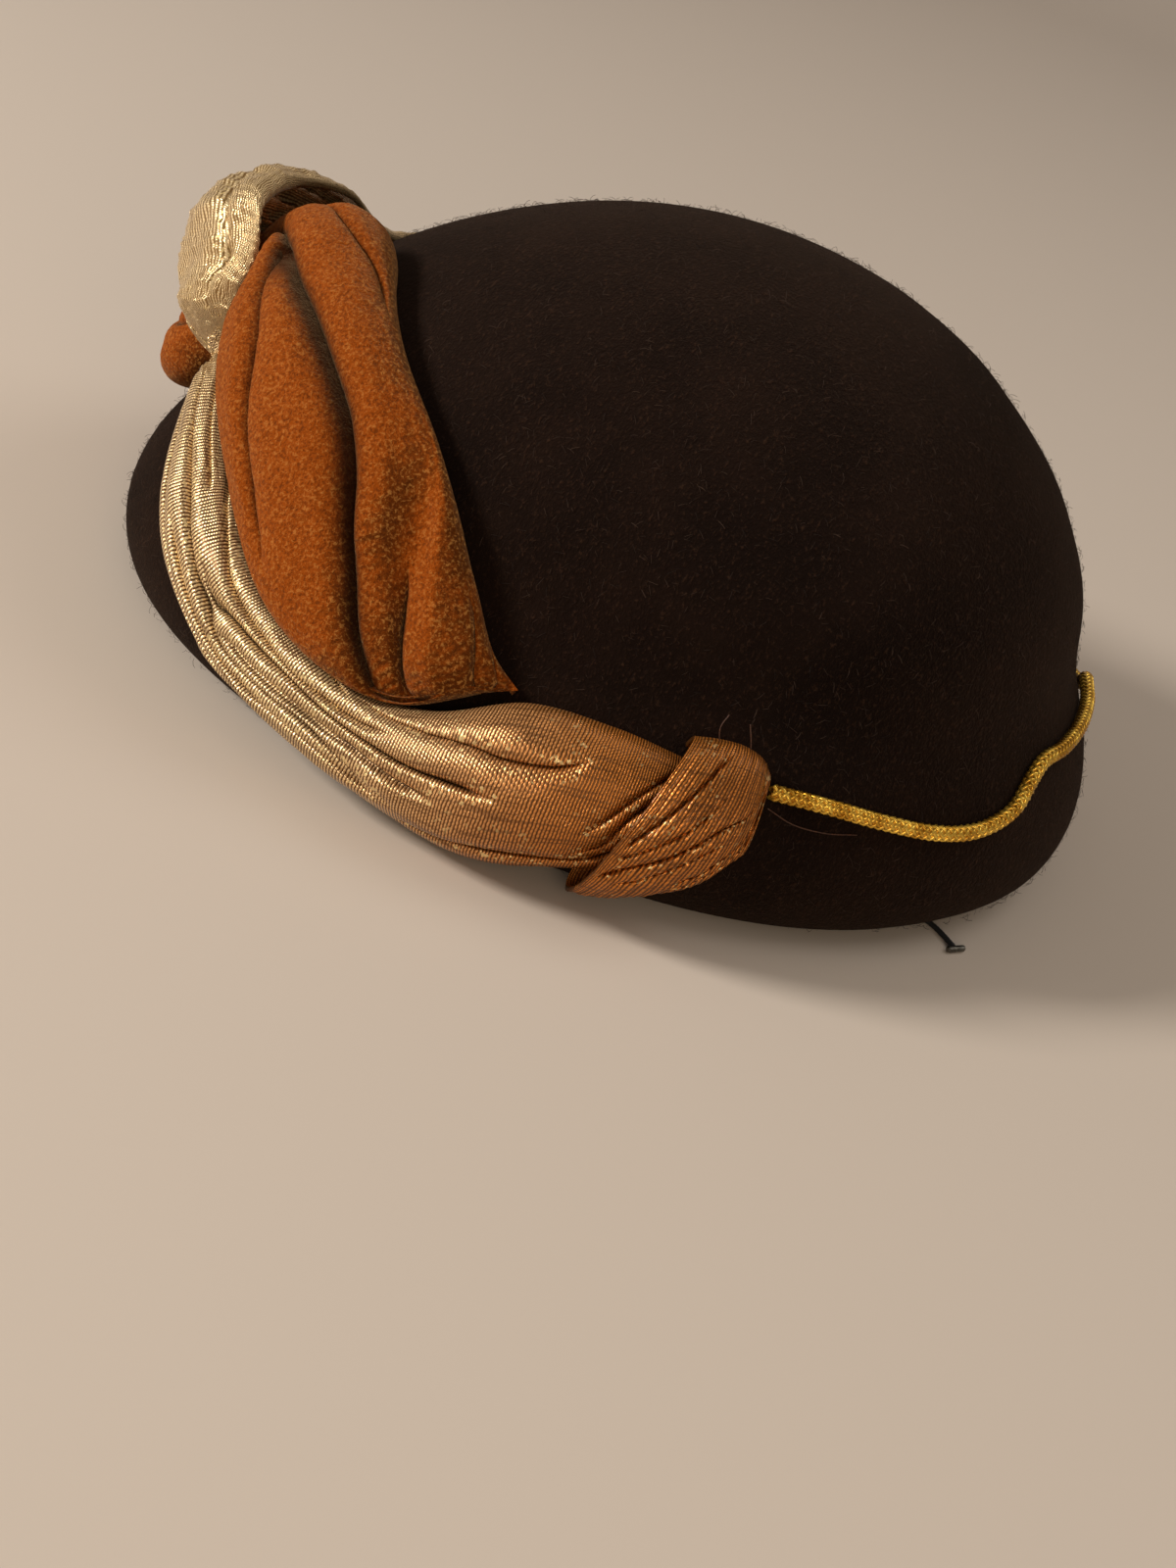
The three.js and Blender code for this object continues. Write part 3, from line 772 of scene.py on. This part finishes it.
goldLoop = dict(goldBand)
goldLoop["grid"] = (330, 80)
goldLoop["cut"] = (48, 255)
goldLoop["creases"] = [
    fold(2.5, 4, 4, [(0.47, 0.35), (0.55, 0.3), (0.64, 0.35), (0.72, 0.4)]),
    fold(2.2, 4, 4, [(0.5, 0.7), (0.6, 0.66), (0.7, 0.62), (0.78, 0.6)]),
    fold(3.0, 4, 5, [(0.66, 0.5), (0.74, 0.48), (0.84, 0.45), (0.95, 0.45)]),
    fold(2.4, 4, 4, [(0.7, 0.8), (0.8, 0.76), (0.9, 0.7)]),
    fold(2.2, 4, 4, [(0.68, 0.24), (0.8, 0.22), (0.92, 0.25)]),
]


def goldLoopCrinkle(along, across):
    u = along * 560
    v = across * 62
    nearPinch = np.exp(-((along - 0.49) / 0.04) ** 2)
    hem = smoothstep((across - 0.8) / 0.2) * smoothstep((along - 0.5) / 0.04) * smoothstep((0.64 - along) / 0.04)
    facets = 0.7 * crumple(u / 1.5, v, 12, 21) + 0.28 * crumple(u, v, 4.5, 23)
    return facets + 1.0 * nearPinch * crumple(u, v / 2, 5, 22) + 0.9 * hem * np.sin(u * 1.4)


goldLoop["crinkle"] = goldLoopCrinkle

goldLeft = clothStrip("goldBand", goldBand, goldCloth, 0, 0.492)
goldRight = clothStrip("goldLoop", goldLoop, paleCloth, 0.488, 1)
for piece in (goldLeft, goldRight):
    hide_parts("gold_sash")
print("gold sash", len(goldLeft.data.polygons) + len(goldRight.data.polygons))

velvetDrape = {
    "rows": velvetRows,
    "side": 1,
    "thickness": 1.4,
    "flat": (560, 80),
    "cut": (72, 175),
    "grid": (340, 132),
    "creases": [
        fold(13, 8, 6, [(0.37, 0.38), (0.34, 0.43), (0.315, 0.47), (0.296, 0.51), (0.265, 0.57), (0.241, 0.615),
                        (0.221, 0.635), (0.202, 0.64), (0.185, 0.63), (0.158, 0.585), (0.121, 0.48),
                        (0.095, 0.395), (0.077, 0.33), (0.06, 0.25), (0.045, 0.18)], 3.2, fade=(0.04, 0.08)),
        fold(6, 6, 5, [(0.31, 0.43), (0.295, 0.45), (0.275, 0.463), (0.247, 0.475), (0.232, 0.463),
                       (0.219, 0.44), (0.206, 0.415), (0.191, 0.38), (0.175, 0.335), (0.158, 0.29),
                       (0.14, 0.24)], 2.2, fade=(0.1, 0.2)),
        fold(5, 7, 8, [(0.36, 0.56), (0.335, 0.585), (0.31, 0.63), (0.291, 0.681), (0.276, 0.735), (0.261, 0.775),
                       (0.25, 0.805), (0.235, 0.84)], -2.5, fade=(0.05, 0.4)),
        fold(4.5, 10, 11, [(0.19, 0.76), (0.154, 0.728), (0.133, 0.67), (0.117, 0.606), (0.098, 0.53),
                           (0.081, 0.456), (0.056, 0.344), (0.035, 0.25)], 0, False, (0.25, 0.05)),
        fold(5, 3, 6, [(0.12, 0.62), (0.1, 0.54), (0.081, 0.462), (0.056, 0.35), (0.035, 0.25)], 1.2, fade=(0.5, 0.05)),
        fold(3.0, 3, 5, [(0.085, 0.8), (0.06, 0.76), (0.04, 0.66), (0.02, 0.5)], 1.0, fade=(0.4, 0.02)),
        fold(2.6, 2.5, 4, [(0.06, 0.9), (0.04, 0.84), (0.02, 0.7), (0.01, 0.55)], 1.0, fade=(0.4, 0.02)),
    ],
}


def velvetCrinkle(along, across):
    u = along * 560
    v = across * 80
    return 0.35 * crumple(u / 2.5, v, 16, 31, 0) + 0.12 * crumple(u, v, 5, 32, 0)


velvetDrape["crinkle"] = velvetCrinkle

velvetTail = dict(velvetDrape)
velvetTail["grid"] = (300, 70)
velvetTail["cut"] = (54, 299)
velvetTail["creases"] = [
    fold(5.5, 6, 5, [(0.39, 0.5), (0.42, 0.56), (0.5, 0.6), (0.62, 0.58), (0.74, 0.52), (0.86, 0.45), (0.95, 0.5)], 2),
    fold(4.0, 4, 6, [(0.4, 0.3), (0.45, 0.35), (0.55, 0.36), (0.68, 0.36), (0.8, 0.3), (0.92, 0.32)], 1.5),
    fold(3.0, 4, 4, [(0.45, 0.8), (0.6, 0.78), (0.75, 0.72), (0.88, 0.66)], -1),
]

velvetLeft = clothStrip("velvetDrape", velvetDrape, rustVelvet, 0, 0.385)
velvetRight = clothStrip("velvetTail", velvetTail, rustVelvet, 0.38, 1)
for piece in (velvetLeft, velvetRight):
    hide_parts("velvet_sash")
print("velvet sash", len(velvetLeft.data.polygons) + len(velvetRight.data.polygons))

goldWrap = {
    "rows": wrapRows,
    "side": 1,
    "thickness": 1.0,
    "raise": 0.35,
    "flat": (34, 62),
    "cut": (57, 47),
    "cutShare": 0.7,         # it tapers to its sewn end, so it fills this much of its rectangle
    "grid": (110, 110),
    "creases": [
        fold(2.2, 1.5, 2.2, [(0.42, 0.76), (0.36, 0.68), (0.3, 0.6), (0.2, 0.52), (0.08, 0.44)], -0.6,
             fade=(0.3, 0.1)),
        fold(2.6, 1.8, 2.4, [(0.86, 0.6), (0.799, 0.531), (0.7, 0.51), (0.617, 0.49), (0.527, 0.456), (0.435, 0.425),
                             (0.33, 0.4), (0.177, 0.375), (0.05, 0.35)], -0.9, fade=(0.25, 0.1)),
        fold(2.4, 1.6, 2.2, [(0.9, 0.74), (0.95, 0.6), (0.96, 0.519), (0.955, 0.42), (0.915, 0.306), (0.811, 0.28),
                             (0.706, 0.262), (0.55, 0.25)], -0.8, fade=(0.2, 0.15)),
        fold(2.0, 1.5, 2.0, [(0.93, 0.56), (0.92, 0.47), (0.89, 0.39), (0.764, 0.355), (0.68, 0.312), (0.5, 0.3)],
             -0.6, fade=(0.2, 0.2)),
        fold(1.6, 1.2, 1.6, [(0.55, 0.62), (0.45, 0.52), (0.3, 0.46), (0.1, 0.41)], -0.4, fade=(0.4, 0.1)),
        fold(1.4, 1.2, 1.6, [(0.75, 0.46), (0.6, 0.42), (0.4, 0.36), (0.2, 0.33)], -0.4, fade=(0.4, 0.2)),
    ],
}


def goldWrapCrinkle(along, across):
    return 0.12 * np.sin(along * 34 * 4.2 + 2 * np.sin(across * 5)) + 0.2 * crumple(along * 34, across * 20, 7, 41)


goldWrap["crinkle"] = goldWrapCrinkle
velvetWrap = dict(goldWrap, side=-1, thickness=1.4)
velvetWrap["raise"] = 1.6

for name, strip, material, node, slot in (
    ("goldWrap", goldWrap, goldCloth, "gold_end_wrap", "gold_cloth"),
    ("velvetWrap", velvetWrap, rustVelvet, "velvet_end_wrap", "velvet"),
):
    wrap = clothStrip(name, strip, material)
    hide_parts(node)
print("end wraps")

# Braided cord: strands that pass over and under each other round a core

braidHalf = [(126.4, 33.6), (133, 33), (140, 31.5), (147, 30), (153, 30), (159, 32.5), (163, 37),
             (166, 39.5), (172, 39.5)]
braid = {
    "diameter": 3.8,
    "strands": 8,
    "strandWidth": 0.95,
    "weave": 0.2,            # how far a strand moves in and out
    "turnLength": 7.5,       # one turn of a strand round the cord
    "step": 0.45,
}


def centripetal(points, count):
    # The same smooth line through the points as the solid follows, evenly spaced
    points = np.asarray(points, float)
    ends = np.concatenate([[2 * points[0] - points[1]], points, [2 * points[-1] - points[-2]]])
    line = []
    for k in range(1, len(ends) - 2):
        a, b, c, d = ends[k - 1:k + 3]
        t0 = 0.0
        t1 = t0 + np.linalg.norm(b - a) ** 0.5
        t2 = t1 + np.linalg.norm(c - b) ** 0.5
        t3 = t2 + np.linalg.norm(d - c) ** 0.5
        for t in np.linspace(t1, t2, 24, endpoint=False):
            p = (t1 - t) / (t1 - t0) * a + (t - t0) / (t1 - t0) * b
            q = (t2 - t) / (t2 - t1) * b + (t - t1) / (t2 - t1) * c
            r = (t3 - t) / (t3 - t2) * c + (t - t2) / (t3 - t2) * d
            pq = (t2 - t) / (t2 - t0) * p + (t - t0) / (t2 - t0) * q
            qr = (t3 - t) / (t3 - t1) * q + (t - t1) / (t3 - t1) * r
            line.append((t2 - t) / (t2 - t1) * pq + (t - t1) / (t2 - t1) * qr)
    line.append(points[-1])
    line = np.array(line)
    run = np.concatenate([[0], np.cumsum(np.linalg.norm(np.diff(line, axis=0), axis=1))])
    even = np.linspace(0, run[-1], count)
    return np.stack([np.interp(even, run, line[:, k]) for k in range(3)], 1), run[-1]


def curveObject(name, points):
    curve = bpy.data.curves.new(name, "CURVE")
    curve.dimensions = "3D"
    spline = curve.splines.new("POLY")
    spline.points.add(len(points) - 1)
    spline.points.foreach_set("co", np.c_[toMetres(points), np.ones(len(points))].ravel())
    obj = bpy.data.objects.new(name, curve)
    bpy.context.scene.collection.objects.link(obj)
    return obj


class Nodes:
    def __init__(self, name, sizes):
        self.tree = bpy.data.node_groups.new(name, "GeometryNodeTree")
        self.tree.interface.new_socket("Geometry", in_out="INPUT", socket_type="NodeSocketGeometry")
        self.sockets = {}
        for label, kind in sizes.items():
            made = self.tree.interface.new_socket(label, in_out="INPUT", socket_type=kind)
            self.sockets[label] = made.identifier
        self.tree.interface.new_socket("Geometry", in_out="OUTPUT", socket_type="NodeSocketGeometry")
        self.source = self.tree.nodes.new("NodeGroupInput")
        self.result = self.tree.nodes.new("NodeGroupOutput")

    def add(self, kind, inputs=None, **settings):
        node = self.tree.nodes.new(kind)
        for name, value in settings.items():
            setattr(node, name, value)
        for key, value in (inputs or {}).items():
            socket = node.inputs[key]
            if isinstance(value, bpy.types.NodeSocket):
                self.tree.links.new(value, socket)
            else:
                socket.default_value = value
        return node.outputs

    def math(self, operation, *values):
        return self.add("ShaderNodeMath", dict(enumerate(values)), operation=operation)[0]

    def vector(self, operation, *values, scale=None):
        inputs = dict(enumerate(values))
        if scale is not None:
            inputs["Scale"] = scale
        return self.add("ShaderNodeVectorMath", inputs, operation=operation)[0]

    def finish(self, geometry, material):
        whole = self.add("GeometryNodeRealizeInstances", {"Geometry": geometry})[0]
        coated = self.add("GeometryNodeSetMaterial", {"Geometry": whole, "Material": material})[0]
        self.tree.links.new(coated, self.result.inputs[0])


def applyNodes(obj, nodes, values, name, material):
    modifier = obj.modifiers.new("nodes", "NODES")
    modifier.node_group = nodes.tree
    for label, value in values.items():
        modifier[nodes.sockets[label]] = value
    depsgraph = bpy.context.evaluated_depsgraph_get()
    mesh = bpy.data.meshes.new_from_object(obj.evaluated_get(depsgraph), depsgraph=depsgraph)
    mesh.name = name
    if not mesh.materials:
        mesh.materials.append(material)
    obj.modifiers.clear()
    made = bpy.data.objects.new(name, mesh)
    bpy.context.scene.collection.objects.link(made)
    return made


def braidNodes():
    n = Nodes("braidStrands", {
        "Strands": "NodeSocketInt",
        "Strand Radius": "NodeSocketFloat",
        "Cord Radius": "NodeSocketFloat",
        "Weave": "NodeSocketFloat",
        "Turn Length": "NodeSocketFloat",
    })
    size = n.source.outputs
    copies = n.add("GeometryNodeDuplicateElements", {"Geometry": size[0], "Amount": size["Strands"]},
                   domain="SPLINE")
    index = copies[1]
    half = n.math("DIVIDE", size["Strands"], 2.0)
    second = n.math("GREATER_THAN", index, n.math("SUBTRACT", half, 0.5))
    way = n.math("SUBTRACT", 1.0, n.math("MULTIPLY", second, 2.0))
    run = n.add("GeometryNodeSplineParameter")[1]
    turned = n.math("MULTIPLY", n.math("DIVIDE", run, size["Turn Length"]), math.tau)
    place = n.math("MULTIPLY", n.math("DIVIDE", index, half), math.tau)
    angle = n.math("ADD", n.math("MULTIPLY", turned, way), place)
    beat = n.math("COSINE", n.math("MULTIPLY", turned, half))
    reach = n.math("MULTIPLY", n.math("MULTIPLY", beat, way), size["Weave"])
    radius = n.math("ADD", size["Cord Radius"], reach)
    normal = n.add("GeometryNodeInputNormal")[0]
    tangent = n.add("GeometryNodeInputTangent")[0]
    side = n.vector("CROSS_PRODUCT", tangent, normal)
    first = n.vector("SCALE", normal, scale=n.math("MULTIPLY", n.math("COSINE", angle), radius))
    other = n.vector("SCALE", side, scale=n.math("MULTIPLY", n.math("SINE", angle), radius))
    moved = n.add("GeometryNodeSetPosition", {"Geometry": copies[0], "Offset": n.vector("ADD", first, other)})[0]
    ring = n.add("GeometryNodeCurvePrimitiveCircle", {"Resolution": 6, "Radius": size["Strand Radius"]})[0]
    strands = n.add("GeometryNodeCurveToMesh", {"Curve": moved, "Profile Curve": ring, "Fill Caps": True})[0]
    coreRing = n.add("GeometryNodeCurvePrimitiveCircle", {"Resolution": 8, "Radius": size["Cord Radius"]})[0]
    core = n.add("GeometryNodeCurveToMesh", {"Curve": size[0], "Profile Curve": coreRing, "Fill Caps": True})[0]
    both = n.tree.nodes.new("GeometryNodeJoinGeometry")
    n.tree.links.new(strands, both.inputs[0])
    n.tree.links.new(core, both.inputs[0])
    n.finish(both.outputs[0], goldBraid)
    return n


def addBraid():
    off = braid["diameter"] / 2 + 0.3
    stops = np.array(braidHalf + [(180, 39.5)] + [(360 - b, h) for b, h in reversed(braidHalf)])
    points = feltPoint(stops[:, 0], stops[:, 1]) + feltNormal(stops[:, 0], stops[:, 1]) * off
    line, length = centripetal(points, 40)
    line, length = centripetal(points, int(length / braid["step"]))
    guide = curveObject("braidLine", line)
    width = braid["strandWidth"]
    values = {
        "Strands": braid["strands"],
        "Strand Radius": width / 2000,
        "Cord Radius": (braid["diameter"] - width) / 2000 - braid["weave"] / 1000,
        "Weave": braid["weave"] / 1000,
        "Turn Length": braid["turnLength"] / 1000,
    }
    cord = applyNodes(guide, braidNodes(), values, "braidCord", goldBraid)
    bpy.data.objects.remove(guide)
    cord.data.shade_smooth()
    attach(cord, "root")
    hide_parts("braid_cord")
    return cord


braidCord = addBraid()
print("braid", len(braidCord.data.polygons))

# Loose fur fibres over the outside of the felt

fuzz = {
    "density": 125000,       # fibres to a square metre
    "length": 1.9,
    "radius": 0.04,
    "lowest": 3,
    "slump": (0.3, 1.2),     # least and most lean away from upright, in radians
    "seed": 7,
}


def fuzzNodes():
    n = Nodes("fuzzFibres", {
        "Density": "NodeSocketFloat",
        "Length": "NodeSocketFloat",
        "Radius": "NodeSocketFloat",
        "Least Lean": "NodeSocketFloat",
        "Most Lean": "NodeSocketFloat",
        "Seed": "NodeSocketInt",
    })
    size = n.source.outputs
    spread = n.add("GeometryNodeDistributePointsOnFaces",
                   {"Mesh": size[0], "Density": size["Density"], "Seed": size["Seed"]})
    middlePoint = n.add("ShaderNodeCombineXYZ", {"Z": n.math("MULTIPLY", size["Length"], 0.6)})[0]
    endPoint = n.add("ShaderNodeCombineXYZ", {"X": n.math("MULTIPLY", size["Length"], 0.5),
                                              "Z": n.math("MULTIPLY", size["Length"], 0.85)})[0]
    strand = n.add("GeometryNodeCurveQuadraticBezier",
                   {"Resolution": 2, "Start": (0, 0, 0), "Middle": middlePoint, "End": endPoint})[0]
    ring = n.add("GeometryNodeCurvePrimitiveCircle", {"Resolution": 3, "Radius": size["Radius"]})[0]
    fibre = n.add("GeometryNodeCurveToMesh", {"Curve": strand, "Profile Curve": ring, "Fill Caps": True})[0]
    lean = n.add("FunctionNodeRandomValue", {2: size["Least Lean"], 3: size["Most Lean"], "Seed": size["Seed"]},
                 data_type="FLOAT")[1]
    around = n.add("FunctionNodeRandomValue", {2: 0.0, 3: math.tau, "Seed": n.math("ADD", size["Seed"], 1)},
                   data_type="FLOAT")[1]
    length = n.add("FunctionNodeRandomValue", {2: 0.55, 3: 1.2, "Seed": n.math("ADD", size["Seed"], 2)},
                   data_type="FLOAT")[1]
    tilt = n.add("FunctionNodeEulerToRotation", {0: n.add("ShaderNodeCombineXYZ", {"Y": lean})[0]})[0]
    spin = n.add("FunctionNodeEulerToRotation", {0: n.add("ShaderNodeCombineXYZ", {"Z": around})[0]})[0]
    turned = n.add("FunctionNodeRotateRotation", {0: spread["Rotation"], 1: spin}, rotation_space="LOCAL")[0]
    turned = n.add("FunctionNodeRotateRotation", {0: turned, 1: tilt}, rotation_space="LOCAL")[0]
    placed = n.add("GeometryNodeInstanceOnPoints",
                   {"Points": spread["Points"], "Instance": fibre, "Rotation": turned, "Scale": length})[0]
    n.finish(placed, feltFibre)
    return n


def underCloth(bearing, height):
    # True where a sash or wrap covers the felt
    hidden = np.zeros(bearing.shape, bool)
    for strip in (goldBand, velvetDrape, goldWrap, velvetWrap):
        rows = strip["rows"]
        corners = np.concatenate([rows[:, 0:2], rows[::-1, 2:4]]) * (strip["side"], 1)
        inside = np.zeros(bearing.shape, bool)
        for (bearingA, heightA), (bearingB, heightB) in zip(np.roll(corners, 1, axis=0), corners):
            if heightA == heightB:
                continue
            crosses = (heightA > height) != (heightB > height)
            edge = bearingA + (height - heightA) / (heightB - heightA) * (bearingB - bearingA)
            inside ^= crosses & (bearing < edge)
        hidden |= inside
    return hidden


def addFuzz():
    bearings = 360 * np.arange(shell["around"] + 1) / shell["around"] - 180
    top = felt["widestHeight"] + felt["domeRise"] - 0.05
    heights = np.concatenate([np.linspace(fuzz["lowest"], 90, 40), np.linspace(92, top, 20)])
    grid = feltPoint(*np.meshgrid(bearings, heights, indexing="ij"))
    centres = np.meshgrid((bearings[1:] + bearings[:-1]) / 2, (heights[1:] + heights[:-1]) / 2, indexing="ij")
    bare = ~underCloth(*centres).ravel()
    faces = gridFaces(len(bearings), len(heights))[bare].tolist()
    skin = makeObject("fuzzGround", grid.reshape(-1, 3), faces, brownFelt)
    values = {
        "Density": float(fuzz["density"]),
        "Length": fuzz["length"] / 1000,
        "Radius": fuzz["radius"] / 1000,
        "Least Lean": fuzz["slump"][0],
        "Most Lean": fuzz["slump"][1],
        "Seed": fuzz["seed"],
    }
    fibres = applyNodes(skin, fuzzNodes(), values, "feltFuzz", feltFibre)
    bpy.data.objects.remove(skin)
    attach(fibres, "root")
    return fibres


feltFuzz = addFuzz()
print("fuzz", len(feltFuzz.data.polygons))

# Free end of the elastic, laid on the surface

elastic = {"diameter": 1.3, "sides": 12, "ribs": 0.03}
elasticRoute = [
    (58.5, 70.5, 7), (56.5, 72.3, 5), (54.3, 74.6, 2.6), (51.8, 77.5, 1.1), (48.9, 80.9, 0.65),
    (46, 84.2, 0.65), (43.6, 87.8, 0.65), (42.2, 91.6, 0.65), (41.9, 95.4, 0.65), (42.5, 99.2, 0.65),
    (43.9, 102.8, 0.65), (45.9, 105.8, 0.65), (48.2, 108.6, 0.65),
]


def tubeMesh(name, line, radius, sides, material, wave=None):
    line = np.asarray(line, float)
    run = unit(np.gradient(line, axis=0))
    side = unit(np.cross(run, (0.03, 0.05, 1)))
    up = np.cross(side, run)
    angles = math.tau * np.arange(sides) / sides
    size = radius if wave is None else radius + wave
    size = np.broadcast_to(np.asarray(size, float), (len(line),))[:, None, None]
    spread = np.cos(angles)[None, :, None] * side[:, None] + np.sin(angles)[None, :, None] * up[:, None]
    points = line[:, None] + size * spread
    rings = len(line)
    i, k = np.meshgrid(np.arange(rings - 1), np.arange(sides), indexing="ij")
    a = (i * sides + k).ravel()
    b = (i * sides + (k + 1) % sides).ravel()
    faces = np.stack([a, b, b + sides, a + sides], 1)[:, ::-1].tolist()
    faces.append(list(range(sides)))
    faces.append(list(range((rings - 1) * sides, rings * sides))[::-1])
    distance = np.concatenate([[0], np.cumsum(np.linalg.norm(np.diff(line, axis=0), axis=1))])
    uv = np.stack(np.broadcast_arrays(distance[:, None] / 10, (angles * radius / 10)[None]), -1)
    return makeObject(name, points.reshape(-1, 3), faces, material, uv.reshape(-1, 2))


def addElastic():
    line, length = centripetal(elasticRoute, 160)
    ribs = elastic["ribs"] * np.sin(np.arange(160) * math.tau / 3.2)
    cord = tubeMesh("elasticCord", line, elastic["diameter"] / 2 - elastic["ribs"], elastic["sides"],
                    blackElastic, ribs)
    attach(cord, "root")
    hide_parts("elastic_cord")
    tip = bpy.data.objects["elastic_tip"]
    tip.data.materials.clear()
    tip.data.materials.append(darkMetal)
    return length


print("elastic", round(addElastic(), 1))

# Loose thread ends where the gold cloth is gathered: bearing, height and distance off the felt

threads = {"radius": 0.12, "sides": 6, "steps": 24}
threadRoutes = {
    "threadFront": [(118.8, 39.8, 6.0), (118.4, 42.5, 7.2), (118.9, 45.5, 7.6)],
    "threadMiddle": [(123.0, 38.6, 4.0), (122.4, 41.6, 5.4), (121.8, 44.6, 5.8)],
    "threadCurl": [(126.6, 30.6, 1.0), (129.5, 28.8, 1.6), (133.5, 28.2, 1.4), (137.5, 28.6, 0.6)],
}


def addThreads():
    for name, route in threadRoutes.items():
        stops = np.array(route, float)
        base = feltPoint(stops[:, 0], stops[:, 1])
        line = centripetal(base + feltNormal(stops[:, 0], stops[:, 1]) * stops[:, 2:], threads["steps"])[0]
        thread = tubeMesh(name, line, threads["radius"], threads["sides"], brownThread)
        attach(thread, "root")


addThreads()
print("threads", len(threadRoutes))

# Floor, backdrop and lights

studio = {
    "floor": hex3("#cdbfb1"),
    "reach": 2.6,
    "wallDistance": 1.3,
    "wallBend": 0.9,
}


def addBackdrop():
    turn = math.radians(view["turn"])
    away = np.array([-math.sin(turn), math.cos(turn), 0])
    side = np.array([math.cos(turn), math.sin(turn), 0])
    profile = [(-studio["reach"], 0), (studio["wallDistance"], 0)]
    for k in range(1, 17):
        a = math.radians(90 * k / 16)
        profile.append((studio["wallDistance"] + studio["wallBend"] * math.sin(a),
                        studio["wallBend"] * (1 - math.cos(a))))
    profile.append((studio["wallDistance"] + studio["wallBend"], 4.0))
    points = []
    for run, height in profile:
        for end in (-4.0, 4.0):
            place = away * run + side * end
            points.append((place[0], place[1], height - 0.0001))
    faces = [(2 * k, 2 * k + 1, 2 * k + 3, 2 * k + 2) for k in range(len(profile) - 1)]
    mesh = bpy.data.meshes.new("backdrop")
    mesh.from_pydata(points, [], faces)
    mesh.shade_smooth()
    s = Shader("paleFloor")
    s.set(Base_Color=(*studio["floor"], 1), Roughness=0.7, Specular_IOR_Level=0.2)
    mesh.materials.append(s.material)
    floor = bpy.data.objects.new("backdrop", mesh)
    bpy.context.scene.collection.objects.link(floor)


def addLight(name, place, size, power, color, aim=(0, 0, 0.05)):
    data = bpy.data.lights.new(name, "AREA")
    data.shape = "DISK"
    data.size = size
    data.energy = power
    data.color = color
    light = bpy.data.objects.new(name, data)
    light.location = place
    back = np.array(place, float) - np.array(aim, float)
    back /= np.linalg.norm(back)
    right = np.cross((0, 0, 1), back)
    right /= np.linalg.norm(right)
    up = np.cross(back, right)
    turned = Matrix(np.stack([right, up, back], 1).tolist()).to_4x4()
    light.matrix_world = Matrix.Translation(place) @ turned
    bpy.context.scene.collection.objects.link(light)


addBackdrop()
addLight("window", (0.7, -1.3, 0.8), 0.4, 27, (1.0, 0.96, 0.9))
addLight("warmSide", (1.1, 0.55, 0.5), 0.6, 3.5, (1.0, 0.82, 0.6))
addLight("overhead", (-0.6, 0.9, 1.5), 1.2, 6, (1.0, 0.97, 0.93), (-0.3, 0.5, 0))
world = bpy.data.worlds.new("room")
world.use_nodes = True
world.node_tree.nodes["Background"].inputs[0].default_value = (0.82, 0.78, 0.74, 1)
world.node_tree.nodes["Background"].inputs[1].default_value = 0.3
bpy.context.scene.world = world
bpy.context.scene.view_settings.view_transform = "Standard"
